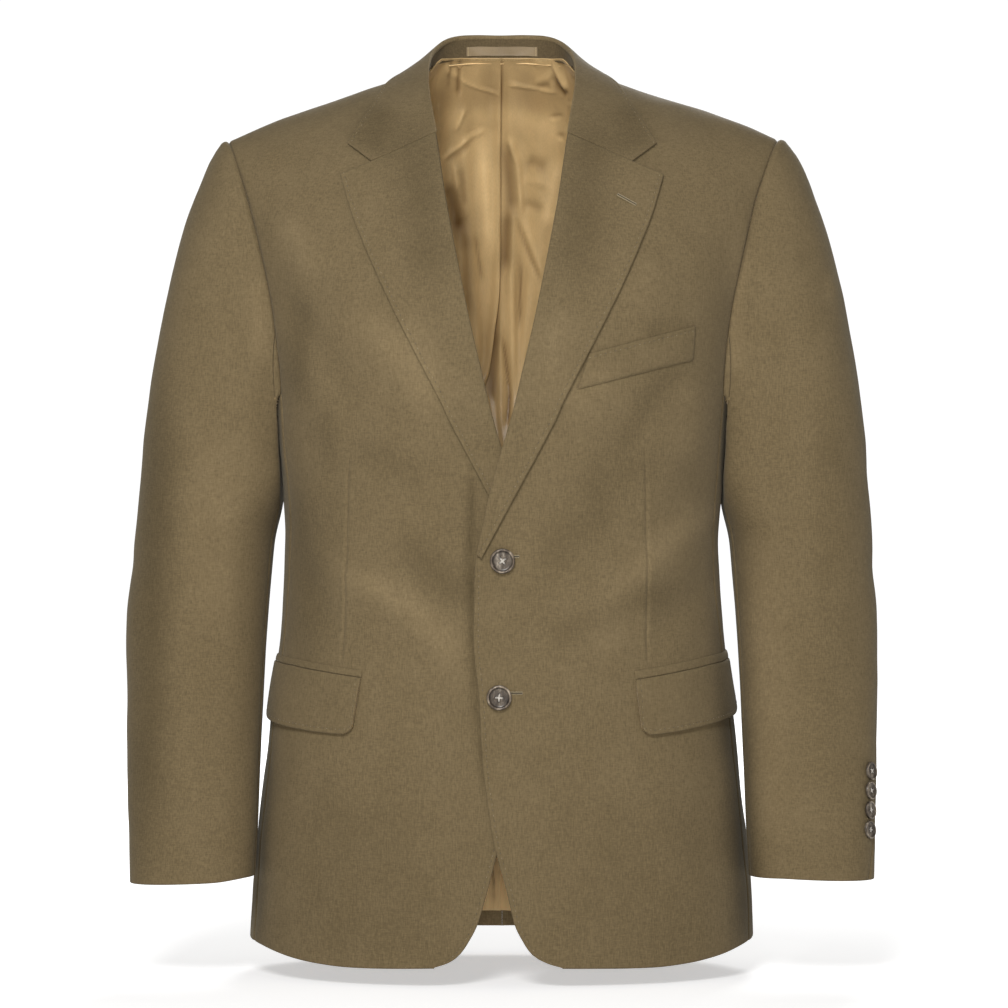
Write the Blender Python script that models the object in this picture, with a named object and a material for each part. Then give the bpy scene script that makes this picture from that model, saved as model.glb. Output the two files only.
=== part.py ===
"""Suit jacket, single-breasted, two buttons, notch lapels, as worn with no wearer shown.

The garment faces -Y, +X is the wearer's left and +Z is up. The origin lies between the two neck
points at the height of the shoulders. All lengths below are millimetres; meshes are made in metres.

The cloth is built on one body form. Under the arms the form is a stack of rings, whose plan is a
superellipse with its own half-width and depths. Above the arms each column of the front and the back
rises on a Bezier curve to the shoulder seam. Every panel is a wall that follows the form, and what
lies on a panel is worked out from the form's points, moved outwards.
"""
import bpy
import math
from mathutils import Vector

M = 0.001

# ---- driving sizes ------------------------------------------------------------------------------
CLOTH = 2.0             # wall of a cloth panel
LINING = 1.2            # wall of the lining
STAND = 1.6             # wall of the collar stand
TAPE = 0.7              # the neck tape
TAPE_GAP = 0.35         # and its distance from the stand
SEAM = 0.30             # gap between neighbouring pieces
SLEEVE_SEAM = 0.40      # gap along a sleeve's two seams, which turn round the arm
ARM_GAP = 0.60          # gap round the armhole, whose edges are curved
Z_HEM = -726.0          # hem at the centre front
Z_ARM = -262.0          # where the armhole starts on the front and back edges
HEM_RISE = 13.0         # the side of the hem is this much higher than the centre front
BACK_HEM_RISE = 5.5     # the hem at the centre back
ARM_DIP = 13.0          # the underarm lies this much lower than the armhole's two ends
SHOULDER_X = 231.0      # shoulder point
NECK_X = 68.0           # neck point
NECK_BACK = (64.0, 27.0)    # y, z of the neck seam at the centre back
SLEEVE_TOP_Z = -300.0   # the first level ring of a sleeve
UNDERARM = 0.19         # share of half the armhole that the side panel takes
LAPEL_OUT = 3.4         # how far a lapel's or the collar's outer face stands off the front
ROLL_OUT = 5.2          # and how far at the roll line
VENT_TOP = -520.0       # the side vents open below this
VENT_LAP = 24.0         # the side panel runs this far under the back there
VENT_DROP = 3.4         # and lies this much deeper
LEAN = 2.3              # the upper sleeves are set this far to the wearer's left
LEFT_UP = 2.6           # the left shoulder point is this much higher
CUFF_EVEN = (1.3, 1.9)  # the left cuff is this much higher, the right cuff this much lower

# z, half-width, front depth, back depth, front power, back power
BODY_RINGS = [
    (-730.0, 211.0, 141.0, 140.0, 2.20, 2.30),
    (-668.0, 208.5, 141.0, 137.0, 2.20, 2.30),
    (-600.0, 202.0, 141.0, 132.0, 2.22, 2.32),
    (-555.0, 196.8, 141.0, 128.0, 2.25, 2.35),
    (-517.0, 192.5, 141.0, 125.0, 2.25, 2.35),
    (-475.0, 187.6, 141.0, 121.0, 2.25, 2.35),
    (-433.0, 183.8, 140.5, 118.0, 2.25, 2.35),
    (-400.0, 182.0, 140.0, 117.5, 2.25, 2.35),
    (-370.0, 182.0, 139.0, 119.5, 2.25, 2.35),
    (-335.0, 184.4, 138.5, 125.0, 2.28, 2.35),
    (-300.0, 188.0, 139.0, 132.0, 2.30, 2.35),
    (-262.0, 191.5, 140.0, 139.0, 2.30, 2.35),
]
# z, y of the seam between front and side panel, y of the seam between side panel and back
SIDE_SEAMS = [
    (-730.0, 37.0, 66.0),
    (-520.0, 40.0, 64.0),
    (-400.0, 44.0, 62.0),
    (-262.0, 50.0, 62.0),
]
# share of the front's width, how much higher than Z_HEM the front's hem is
HEM_FRONT = [
    (0.00, 0.0),
    (0.30, -1.1),
    (0.60, -2.0),
    (0.75, 0.0),
    (0.85, 3.2),
    (0.92, 6.6),
    (1.00, 11.2),
]
# x, z of the shoulder seam from the centre to the shoulder point
SHOULDER_LINE = [
    (0.0, 29.0),
    (40.0, 21.0),
    (68.0, 13.2),
    (86.0, 6.6),
    (120.0, -4.8),
    (160.0, -18.6),
    (200.0, -34.2),
    (231.0, -48.0),
]
# z, x of the roll line and, below the top button, of the front edge: wearer's left, wearer's right
FRONT_EDGES = [
    (-726.3, 49.0, 55.0),
    (-722.7, 37.0, 44.0),
    (-716.0, 25.0, 34.5),
    (-702.0, 15.3, 25.0),
    (-692.0, 10.5, 20.0),
    (-681.0, 7.6, 16.5),
    (-662.0, 3.2, 11.0),
    (-647.0, -1.0, 7.2),
    (-623.0, -7.0, 1.0),
    (-590.0, -12.0, -5.0),
    (-561.0, -15.6, -9.0),
    (-508.0, -18.6, -15.0),
    (-468.0, -22.6, -18.0),
    (-429.0, -22.5, -18.0),
    (-400.0, -21.6, -17.5),
    (-371.0, -15.8, -14.5),
    (-342.0, -9.5, -9.5),
    (-312.0, -1.4, -1.4),
    (-277.0, 8.8, 8.8),
    (-242.0, 17.0, 17.0),
    (-205.0, 25.6, 25.6),
    (-155.0, 35.8, 35.8),
    (-100.0, 46.0, 46.0),
    (-50.0, 53.5, 53.5),
    (-30.0, 57.5, 57.5),
    (-6.0, 61.5, 61.5),
    (7.0, 64.5, 64.5),
    (13.2, 68.0, 68.0),
]
# z, how far the wearer's right front lies under the left one, as a depth
UNDER_DEPTH = [
    (-730.0, 4.6),
    (-430.0, 4.6),
    (-395.0, 9.0),
    (-310.0, 9.0),
    (-235.0, 0.0),
    (-100.0, 0.0),
]
# z, centre x, centre y, half-width, half-depth of a sleeve
SLEEVE_RINGS = [
    (-300.0, 244.6, 2.0, 59.6, 62.0),
    (-340.0, 246.8, 3.0, 59.8, 60.0),
    (-402.0, 252.2, 2.0, 59.4, 57.0),
    (-454.0, 255.6, -4.0, 58.9, 53.5),
    (-505.0, 256.6, -14.0, 57.4, 50.0),
    (-570.0, 256.4, -31.0, 55.4, 46.0),
    (-620.0, 255.8, -45.0, 53.6, 43.0),
    (-662.5, 255.4, -57.5, 51.8, 40.5),
]
CUFF_TILT = 4.0         # the cuff is this much higher next to the body
# level along a sleeve (0 armhole, 1 first ring, 2 cuff), angle of the front seam, of the elbow seam
# on the wearer's left, and on the right, whose cuff is turned further back
SLEEVE_SEAMS = [
    (0.00, 62.0, 256.0, 256.0),
    (1.00, 42.0, 240.0, 243.0),
    (1.45, 30.0, 211.0, 230.0),
    (2.00, 20.0, 153.0, 211.0),
]
# fold of the collar: x, y, z; its outer edge: x, z, and y, or the panel that it lies on; roundness
COLLAR = [
    (0.0, 70.0, 49.6, 0.0, 4.0, "back", 0.62),
    (22.0, 69.0, 49.6, 30.0, 3.9, "back", 0.62),
    (38.0, 62.5, 48.0, 54.0, 3.6, "back", 0.54),
    (50.0, 48.0, 42.8, 70.5, 3.2, "back", 0.42),
    (57.6, 30.0, 34.6, 80.5, 7.9, 35.0, 0.36),
    (60.8, 10.0, 26.2, 86.0, 9.9, 12.0, 0.34),
    (61.8, -10.0, 17.4, 91.2, 5.9, -8.0, 0.36),
    (61.8, -29.0, 8.0, 97.2, -4.4, "front", 0.42),
    (61.4, -46.0, -2.5, 102.5, -14.0, "front", 0.5),
    (60.0, -61.0, -14.0, 108.5, -25.0, "front", 0.5),
    (57.6, -75.0, -28.0, 116.5, -38.5, "front", 0.5),
]
GORGE = (53.5, -50.0)           # x, z where the gorge seam meets the roll line
NOTCH = (106.0, -72.5)          # inner corner of the notch
COLLAR_POINT = (126.6, -56.4)
LAPEL_POINT = (131.8, -83.2)
NOTCH_GAP = 1.1                 # half the height of the gap at the notch's inner corner
# z, x of a lapel's outer edge
LAPEL_EDGE = [
    (-83.2, 131.8),
    (-118.0, 121.0),
    (-145.0, 110.0),
    (-187.0, 91.0),
    (-225.0, 72.0),
    (-268.0, 50.0),
    (-284.0, 43.0),
    (-316.0, 26.5),
    (-342.0, 12.5),
    (-369.0, -2.0),
    (-399.0, -18.0),
]
LAPEL_END = {1: -393.0, -1: -366.0}     # lowest point of the roll line, left and right lapel

# hip pockets: share of the body's half-width, and z, along the top and the bottom of the flap,
# for the wearer's left (1) and right (-1)
FLAP_TOP = {
    1: [(0.568, -494.5), (0.772, -488.6), (0.900, -484.4), (0.997, -480.8)],
    -1: [(0.598, -493.0), (0.770, -488.8), (0.902, -485.2), (0.997, -482.6)],
}
FLAP_BOTTOM = {
    1: [(0.580, -540.4), (0.735, -537.2), (0.876, -532.6), (0.9985, -525.4)],
    -1: [(0.622, -539.6), (0.760, -538.4), (0.904, -535.0), (0.9985, -529.2)],
}
FLAP_CORNER = 0.10      # share of the flap's length that each rounded corner takes
FLAP_ROUND = 0.17       # and of its height
JET_HEIGHT = {1: 7.3, -1: 6.1}
# breast pocket: x, z of the lower and upper corners, inner end first
WELT_LOW = [(60.6, -259.8), (156.0, -235.0)]
WELT_HIGH = [(70.4, -230.6), (158.0, -206.4)]

FRONT_BUTTONS = [(0.4, -398.0), (-2.2, -508.0)]
BUTTON_R = 10.2
CUFF_BUTTON_R = 7.6
CUFF_BUTTON_Z = [-573.0, -589.2, -605.4, -621.6]
CUFF_BUTTON_ANGLE = {1: 149.0, -1: 207.0}   # round the sleeve, just in front of the elbow seam

# lining: how deep the soft folds are, and where
LINING_IN = 3.6
PLEAT_X = 2.6
LINING_FOLDS = [(34.0, 9.0, 5.0), (62.0, 12.0, 4.0), (96.0, 16.0, 5.5), (132.0, 14.0, 4.0)]


# ---- small helpers ------------------------------------------------------------------------------
def read(rows, key):
    """Smooth reading of a table, by its first column, as a tuple of the other columns."""
    rows = sorted(rows)
    key = min(max(key, rows[0][0]), rows[-1][0])
    i = 0
    while i < len(rows) - 2 and key > rows[i + 1][0]:
        i += 1
    before = rows[max(i - 1, 0)]
    a, b = rows[i], rows[i + 1]
    after = rows[min(i + 2, len(rows) - 1)]
    span = b[0] - a[0]
    f = (key - a[0]) / span
    out = []
    for c in range(1, len(a)):
        slope_a = (b[c] - before[c]) / (b[0] - before[0])
        slope_b = (after[c] - a[c]) / (after[0] - a[0])
        h1 = 2 * f ** 3 - 3 * f ** 2 + 1
        h2 = f ** 3 - 2 * f ** 2 + f
        h3 = 3 * f ** 2 - 2 * f ** 3
        h4 = f ** 3 - f ** 2
        out.append(h1 * a[c] + h2 * span * slope_a + h3 * b[c] + h4 * span * slope_b)
    return out


def mix(a, b, f):
    return a + (b - a) * f


def ease(f):
    f = min(max(f, 0.0), 1.0)
    return f * f * (3 - 2 * f)


def bezier(p, t):
    s = 1 - t
    k = (s ** 3, 3 * s * s * t, 3 * s * t * t, t ** 3)
    return Vector([sum(k[i] * p[i][c] for i in range(4)) for c in range(3)])


def depth_at(x, half, depth, power):
    share = min(abs(x) / half, 1.0)
    return depth * (1 - share ** power) ** (1 / power)


# ---- the body form ------------------------------------------------------------------------------
def seam_x(z, back):
    """Half-width of the front panel, or of the back panel, at a level."""
    half, front, rear, n_front, n_back = read(BODY_RINGS, z)
    y_front, y_back = read(SIDE_SEAMS, z)
    if back:
        return half * (1 - (y_back / rear) ** n_back) ** (1 / n_back)
    return half * (1 - (y_front / front) ** n_front) ** (1 / n_front)


def ring_point(z, x, back):
    half, front, rear, n_front, n_back = read(BODY_RINGS, z)
    if back:
        return Vector((x, depth_at(x, half, rear, n_back), z))
    return Vector((x, -depth_at(x, half, front, n_front), z))


def shoulder_z(x):
    return read(SHOULDER_LINE, x)[0]


def neck_seam(x):
    """The back neck seam, from the centre back to the neck point."""
    f = math.sqrt(max(1 - (x / NECK_X) ** 2, 0.0))
    return Vector((x, mix(15.0, NECK_BACK[0], f), mix(shoulder_z(NECK_X), NECK_BACK[1], f ** 0.8)))


def ridge(x):
    """The top of the form: the shoulder seam, and the neck seam at the back."""
    f = (abs(x) - NECK_X) / (SHOULDER_X - NECK_X)
    return Vector((x, mix(15.0, 3.0, f), shoulder_z(abs(x))))


def hem_z(w, back):
    if back:
        return mix(BACK_HEM_RISE, HEM_RISE, max(w, 0.0) ** 2)
    return read(HEM_FRONT, w)[0]


def panel_point(w, level, back):
    """Point of the form: w runs from the centre to the seam, level 0 to 1 to the arm, 2 at the top."""
    if level <= 1.0:
        z = mix(Z_HEM, Z_ARM, level)
        point = ring_point(z, w * seam_x(z, back), back)
        point.z += hem_z(w, back) * (1 - ease(level * 5.0))
        return point
    t = level - 1.0
    start = ring_point(Z_ARM, w * seam_x(Z_ARM, back), back)
    side = max(w, 0.0)
    x_end = w * SHOULDER_X
    if back:
        end = ridge(x_end) if abs(x_end) >= NECK_X else neck_seam(x_end)
        neck = ease(1 - abs(x_end) / (1.35 * NECK_X))
        past = abs(x_end) - NECK_X
        across = NECK_X + (past + math.hypot(past, 22.0)) / 2
        p1 = (w * 188.0, start.y + mix(14.0, 13.0, side), mix(-168.0, -184.0, side))
        p2_z = shoulder_z(across) - 1.5 - 14.7 * neck
        p2 = (w * 223.0, mix(112.0, 60.0, side ** 3) - 5.0 * neck, p2_z)
    else:
        end = ridge(x_end)
        p1 = (w * 184.0, start.y - mix(7.0, 10.0, side), mix(-160.0, -182.0, side ** 2))
        p2 = (w * 222.0, mix(-97.0, -60.0, side ** 3), end.z - 4.0)
    return bezier((start, p1, p2, end), t)


def normal_of(surface, a, b):
    """Outward normal of a surface(a, b), with a across and b up."""
    e = 0.004
    across = surface(a + e, b) - surface(a - e, b)
    up = surface(a, min(b + e, 2.0)) - surface(a, max(b - e, 0.0))
    return across.cross(up).normalized()


def under(x, z):
    """How deep the wearer's right front lies under the left one."""
    return read(UNDER_DEPTH, z)[0] * (1 - ease((x - 14.0) / 70.0))


def front_frame(w, level, side):
    """Point and outward normal of a front, in the half-space x > 0 of its own side."""
    point = panel_point(w, level, False)
    normal = normal_of(lambda a, b: panel_point(a, b, False), w, level)
    if level >= 1.99:
        normal = top_normal(point.x)
    if side < 0:
        point = point - normal * under(point.x, point.z)
    return point, normal


def back_frame(w, level):
    point = panel_point(w, level, True)
    normal = -normal_of(lambda a, b: panel_point(a, b, True), w, level)
    if level >= 1.99 and point.x >= NECK_X - 0.1:
        normal = top_normal(point.x)
    return point, normal


def top_normal(x):
    """Shared by the front and the back along the shoulder seam, so that their walls never cross."""
    slope = (shoulder_z(x + 1.0) - shoulder_z(x - 1.0)) / 2.0
    return Vector((-slope, 0.0, 1.0)).normalized()


def find(x, z, back=False):
    """The w and the level at which the form has this x and z."""
    if z <= Z_ARM:
        return x / seam_x(z, back), (z - Z_HEM) / (Z_ARM - Z_HEM)
    w = x / 205.0
    level = 1.5
    for _ in range(12):
        low, high = 1.0, 2.0
        for _ in range(24):
            level = (low + high) / 2
            if panel_point(w, level, back).z < z:
                low = level
            else:
                high = level
        reach = panel_point(1.0, level, back).x
        w = x / reach
    return w, level


def on_front(x, z, out, side):
    """The point of a front at x and z, moved outwards."""
    w, level = find(x, z)
    point, normal = front_frame(w, min(level, 1.985), side)
    return point + normal * out


def on_back(x, z, out):
    w, level = find(x, z, True)
    point, normal = back_frame(w, min(level, 1.985))
    return point + normal * out


# ---- meshes and materials -----------------------------------------------------------------------
def material(name, colour, roughness, metallic=0.0):
    mat = bpy.data.materials.get(name)
    if mat:
        return mat
    mat = bpy.data.materials.new(name)
    mat.use_nodes = True
    shader = mat.node_tree.nodes["Principled BSDF"]
    shader.inputs["Base Color"].default_value = (*colour, 1.0)
    shader.inputs["Roughness"].default_value = roughness
    shader.inputs["Metallic"].default_value = metallic
    return mat


def cloth():
    return material("cloth", (0.195, 0.145, 0.075), 0.9)


def satin():
    return material("satin", (0.45, 0.30, 0.13), 0.4)


def tape():
    return material("tape", (0.33, 0.24, 0.14), 0.45)


def horn():
    return material("horn", (0.09, 0.07, 0.055), 0.3)


def settle(point):
    """The jacket hangs a little unevenly: both upper sleeves lie to the wearer's left, and the left
    shoulder point and the left cuff are a little higher."""
    aside = LEAN * ease((abs(point.x) - 200.0) / 60.0) * ease((point.z + 440.0) / 110.0)
    lifted = LEFT_UP * ease((point.x - 130.0) / 80.0) * ease((point.z + 170.0) / 110.0)
    sleeve = ease((abs(point.x) - 206.0) / 30.0) * ease((-point.z - 560.0) / 90.0)
    lifted += sleeve * (CUFF_EVEN[0] if point.x > 0 else -CUFF_EVEN[1])
    return Vector((point.x + aside, point.y, point.z + lifted))


def solid(name, points, faces, mat):
    """One closed piece from points in millimetres."""
    mesh = bpy.data.meshes.new(name)
    mesh.from_pydata([tuple(settle(p) * M) for p in points], [], faces)
    mesh.validate()
    mesh.shade_smooth()
    mesh.set_sharp_from_angle(angle=math.radians(40))
    mesh.materials.append(mat)
    obj = bpy.data.objects.new(name, mesh)
    bpy.context.collection.objects.link(obj)
    return obj


def wall(name, outer, inner, side, mat):
    """A closed wall between two grids of points, rows going up and columns going outwards.

    The grids are made for the side x > 0. side -1 mirrors them.
    """
    rows, columns = len(outer), len(outer[0])
    flat = [p for grid in (outer, inner) for row in grid for p in row]
    points = [Vector((p.x * side, p.y, p.z)) for p in flat]
    half = rows * columns
    faces = []
    for r in range(rows - 1):
        for c in range(columns - 1):
            a = r * columns + c
            b, e, f = a + 1, a + columns + 1, a + columns
            faces.append((a, b, e, f))
            faces.append((half + f, half + e, half + b, half + a))
    top = (rows - 1) * columns
    for c in range(columns - 1):
        d = c + 1
        faces.append((half + c, half + d, d, c))
        faces.append((top + c, top + d, half + top + d, half + top + c))
    for r in range(rows - 1):
        a, b = r * columns, (r + 1) * columns
        faces.append((a, b, half + b, half + a))
        c, d = a + columns - 1, b + columns - 1
        faces.append((c, half + c, half + d, d))
    if side < 0:
        faces = [tuple(reversed(face)) for face in faces]
    return solid(name, points, faces, mat)


def split_rows(frames, depth_out, depth_in):
    """Outer and inner grids from rows of (point, normal)."""
    outer = [[p + n * depth_out for p, n in row] for row in frames]
    inner = [[p + n * depth_in for p, n in row] for row in frames]
    return outer, inner


# ---- levels that neighbouring panels share ------------------------------------------------------
RING_Z = [-726.0, -723.0, -716.5, -703.5, -688.0, -665.0, -635.0, -600.0, -562.0, -520.0, -506.0,
          -468.0, -433.0, -400.0, -370.0, -340.0, -312.0, -285.0, -262.0]
RISE_T = [0.12, 0.24, 0.36, 0.47, 0.57, 0.66, 0.745, 0.82, 0.885, 0.945, 1.0]
LEVELS = [(z - Z_HEM) / (Z_ARM - Z_HEM) for z in RING_Z] + [1.0 + t for t in RISE_T]
FRONT_STEPS = [0.0, 0.1, 0.2, 0.3, 0.41, 0.52, 0.62, 0.72, 0.81, 0.88, 0.945, 1.0]
BACK_STEPS = [0.0, 0.10, 0.19, 0.25, NECK_X / SHOULDER_X, 0.42, 0.56, 0.69, 0.80, 0.91, 1.0]


# share of the side panel's width, share of the vent's drop
SIDE_STEPS = [(0.0, 0.0), (0.25, 0.0), (0.5, 0.0), (0.76, 0.1), (0.93, 1.0)]


def side_name(side):
    return "left" if side > 0 else "right"


def edge_x(side, z):
    left, right = read(FRONT_EDGES, z)
    return left if side > 0 else right


def edge_w(side, level):
    """Where the roll line or the front edge cuts a row of the form."""
    w = 0.2
    for _ in range(12):
        z = panel_point(w, level, False).z
        reach = panel_point(1.0, level, False).x
        w = edge_x(side, z) / reach
    return w


def share_armhole(rows, back):
    """Over the shoulder the panel's last column takes the sleeve's thickness direction."""
    for row, level in zip(rows, LEVELS):
        if level > 1.0:
            cut = 180.0 * UNDERARM
            angle = cut + (level - 1.0) * (180.0 - cut)
            point, normal = row[-1]
            row[-1] = (point, -armhole_inward(360.0 - angle if back else angle, normal))


def make_front(side):
    rows = []
    for level in LEVELS:
        w_edge = edge_w(side, level)
        row = []
        for step in FRONT_STEPS:
            reach = panel_point(1.0, level, False).x
            w = mix(w_edge, 1.0 - SEAM / 2 / reach, step)
            row.append(front_frame(w, level, side))
        rows.append(row)
    rows[-1] = [(p + Vector((0.0, -SEAM / 2, 0.0)), n) for p, n in rows[-1]]
    share_armhole(rows, False)
    outer, inner = split_rows(rows, 0.0, -CLOTH)
    return wall("front_" + side_name(side), outer, inner, side, cloth())


def make_back(side):
    rows = []
    for level in LEVELS:
        row = []
        for step in BACK_STEPS:
            reach = panel_point(1.0, level, True).x
            w = mix(SEAM / 2 / reach, 1.0 - SEAM / 2 / reach, step)
            row.append(back_frame(w, level))
        rows.append(row)
    rows[-1] = [(p + Vector((0.0, SEAM / 2 if p.x > NECK_X - 1.0 else 0.0, 0.0)), n) for p, n in rows[-1]]
    share_armhole(rows, True)
    outer, inner = split_rows(rows, 0.0, -CLOTH)
    mirrored = [list(reversed(row)) for row in outer], [list(reversed(row)) for row in inner]
    return wall("back_" + side_name(side), mirrored[0], mirrored[1], side, cloth())


def side_ring(z, f):
    """Point and normal of the side panel: f runs from the front seam (0) to the back seam (1)."""
    half, front, rear, n_front, n_back = read(BODY_RINGS, z)
    y_front, y_back = read(SIDE_SEAMS, z)
    y = mix(-y_front, y_back, f)
    depth, power = (front, n_front) if y < 0 else (rear, n_back)
    share = abs(y) / depth
    x = half * (1 - share ** power) ** (1 / power)
    gradient = Vector(((x / half) ** (power - 1) / half, math.copysign(share ** (power - 1) / depth, y), 0.0))
    lean = (read(BODY_RINGS, z + 3.0)[0] - read(BODY_RINGS, z - 3.0)[0]) / 6.0
    gradient = gradient.normalized()
    gradient.z = -lean
    return Vector((x, y, z)), gradient.normalized()


def side_frame(z, f):
    """The side panel, with the hem's rise and the dip under the arm."""
    rise = mix(HEM_FRONT[-1][1], HEM_RISE, ease(f / 0.45))
    fade = 1 - ease((z - Z_HEM) / (Z_ARM - Z_HEM) * 5.0)
    dip = ARM_DIP * math.sin(math.pi * min(max(f, 0.0), 1.0)) * ease((z + 315.0) / 53.0)
    point, normal = side_ring(z, f)
    point.z += rise * fade - dip
    return point, normal


def make_side(side):
    rows = []
    for z in RING_Z:
        open_here = z <= VENT_TOP
        y_front, y_back = read(SIDE_SEAMS, z)
        gap = SEAM / 2 / (y_front + y_back)
        lap = VENT_LAP / (y_front + y_back) if z < VENT_TOP else 0.0
        row = []
        for f, drop in SIDE_STEPS:
            point, normal = side_frame(z, mix(gap, 1.0 - gap, f))
            row.append((point - normal * (VENT_DROP * drop if open_here else 0.0), normal))
        point, normal = side_frame(z, 1.0 - gap * 0.5 + lap)
        row.append((point - normal * (VENT_DROP if open_here else 0.0), normal))
        rows.append(row)
    outer, inner = split_rows(rows, 0.0, -CLOTH)
    return wall("side_" + side_name(side), outer, inner, side, cloth())


# ---- sleeves ------------------------------------------------------------------------------------
def armhole(angle):
    """Point of the armhole seam: 0 under the arm, 90 in front, 180 at the shoulder point."""
    angle = angle % 360.0
    cut = 180.0 * UNDERARM
    if angle <= cut:
        return side_frame(Z_ARM, 0.5 * (1 - angle / cut))[0]
    if angle >= 360.0 - cut:
        return side_frame(Z_ARM, 0.5 + 0.5 * (360.0 - angle) / cut)[0]
    if angle <= 180.0:
        return panel_point(1.0, 1.0 + (angle - cut) / (180.0 - cut), False)
    return panel_point(1.0, 1.0 + (360.0 - cut - angle) / (180.0 - cut), True)


def body_side(y, z):
    """Half-width of the body at y and z, to keep a sleeve clear of it."""
    half, front, rear, n_front, n_back = read(BODY_RINGS, z)
    depth, power = (front, n_front) if y < 0 else (rear, n_back)
    share = min(abs(y) / depth, 1.0)
    return half * (1 - share ** power) ** (1 / power)


SLEEVE_CLEAR = 2.5      # least distance of a sleeve's inner side from the body
HUG = 8.0               # under the arm a sleeve reaches this much further in, and lies along the body
HUG_POWER = 1.3         # and its inner side is this much squarer
HUG_END = -386.0        # below this z it hangs clear
HUG_FADE = 62.0


def sleeve_ring(angle, z):
    """0 is the side next to the body, 90 the front, 180 the outside."""
    x0, y0, half, depth = read(SLEEVE_RINGS, z)
    a = math.radians(angle)
    cos, sin = math.cos(a), math.sin(a)
    hug = ease((z - HUG_END) / HUG_FADE) * ease((cos + 0.2) / 0.5)
    power = 2.0 / (2.0 + HUG_POWER * hug)
    x = x0 - (half + HUG * hug) * math.copysign(abs(cos) ** power, cos)
    y = y0 - depth * math.copysign(abs(sin) ** power, sin)
    clear = body_side(y, z) + SLEEVE_CLEAR
    soft = 3.0
    push = clear - x
    if push > -soft:
        x = x + (push + soft) ** 2 / (4 * soft) if push < soft else clear
    return Vector((x, y, z))


def sleeve_point(angle, level):
    """Level 0 is the armhole, 1 the first ring, 2 the cuff."""
    if level >= 1.0:
        z = mix(SLEEVE_TOP_Z, SLEEVE_RINGS[-1][0], level - 1.0)
        point = sleeve_ring(angle, z)
        inside = (1 + math.cos(math.radians(angle))) / 2
        point.z += CUFF_TILT * inside * ease((level - 1.5) * 2.0)
        return point
    a = math.radians(angle)
    start = armhole(angle)
    end = sleeve_ring(angle, SLEEVE_TOP_Z)
    low = (1 + math.cos(a)) / 2
    leave = Vector((1 - 0.25 * low, -0.32 * math.sin(a), 0.14 - 0.9 * low)).normalized()
    reach = (end - start).length
    first = start + leave * mix(21.0, 7.0, low ** 1.5)
    second = end + Vector((-13.0 * (1 - low), 0.0, reach * mix(0.5, 0.3, low)))
    point = bezier((start, first, second, end), level)
    if low > 0.5 and level > 0.0 and point.z < Z_ARM + 30.0:
        clear = body_side(point.y, min(point.z, Z_ARM)) + mix(ARM_GAP, SLEEVE_CLEAR, ease(level * 2.5))
        point.x = max(point.x, clear)
    return point


def sleeve_frame(angle, level):
    e = 0.5
    point = sleeve_point(angle, level)
    across = sleeve_point(angle + e, level) - sleeve_point(angle - e, level)
    step = 0.004
    up = sleeve_point(angle, max(level - step, 0.0)) - sleeve_point(angle, min(level + step, 2.0))
    normal = across.cross(up).normalized()
    return point, normal


SLEEVE_LEVELS = [0.0, 0.09, 0.19, 0.31, 0.45, 0.6, 0.8, 1.0,
                 1.11, 1.22, 1.34, 1.46, 1.59, 1.72, 1.86, 2.0]


def sleeve_wall(side, name, first, last, steps):
    """A sleeve panel between two seams, given as functions of the level."""
    outer, inner = [], []
    for level in reversed(SLEEVE_LEVELS):
        row_out, row_in = [], []
        gap = math.degrees(SLEEVE_SEAM / 2 / SLEEVE_RINGS[0][3])
        for i in range(steps + 1):
            angle = mix(first(level) + gap, last(level) - gap, i / steps)
            point, normal = sleeve_frame(angle, level)
            if level == 0.0:
                point = point + Vector((ARM_GAP, 0.0, 0.0))
                row_out.append(point)
                row_in.append(point + armhole_inward(angle, normal) * CLOTH)
            else:
                row_out.append(point)
                row_in.append(point - normal * CLOTH)
        outer.append(row_out)
        inner.append(row_in)
    return wall(name + "_" + side_name(side), outer, inner, side, cloth())


def armhole_inward(angle, normal):
    """Thickness direction of a sleeve's first ring: shared with the body over the shoulder."""
    a = math.radians(angle)
    over = ease((-math.cos(a) - 0.55) / 0.35)
    down = Vector((-0.15, 0.0, -1.0)).normalized()
    return (-normal).lerp(down, over).normalized()


def make_sleeve(side):
    def front_seam(level):
        return read(SLEEVE_SEAMS, level)[0]

    def elbow_seam(level):
        return read(SLEEVE_SEAMS, level)[1 if side > 0 else 2]

    def front_again(level):
        return front_seam(level) + 360.0

    sleeve_wall(side, "top_sleeve", front_seam, elbow_seam, 13)
    sleeve_wall(side, "under_sleeve", elbow_seam, front_again, 10)


# ---- collar and lapels --------------------------------------------------------------------------
def lift(point, out):
    """Keep a point of the collar at least this far outside the front."""
    if point.y > 5.0 or point.z > shoulder_z(point.x) - 1.0:
        return point
    skin = on_front(point.x, point.z, out, 1)
    if point.y > skin.y:
        return Vector((point.x, skin.y, point.z))
    return point


def collar_row(row, steps):
    """Points across the fall, from its fold to its outer edge, at one row of the table."""
    fx, fy, fz, ex, ez, where, round_out = row
    fold = Vector((fx, fy, fz))
    if where == "back":
        edge = on_back(ex, ez, LAPEL_OUT)
    elif where == "front":
        edge = on_front(ex, ez, LAPEL_OUT, 1)
    else:
        edge = Vector((ex, where, ez))
    out = edge - fold
    level_out = Vector((out.x, out.y, 0.0))
    top = fold + level_out * round_out + Vector((0.0, 0.0, out.z * mix(0.30, 0.12, round_out / 0.62)))
    points = []
    for s in steps:
        q = (1 - s) ** 2 * fold + 2 * s * (1 - s) * top + s * s * edge
        points.append(lift(q, mix(ROLL_OUT, LAPEL_OUT, s)))
    return points


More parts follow.
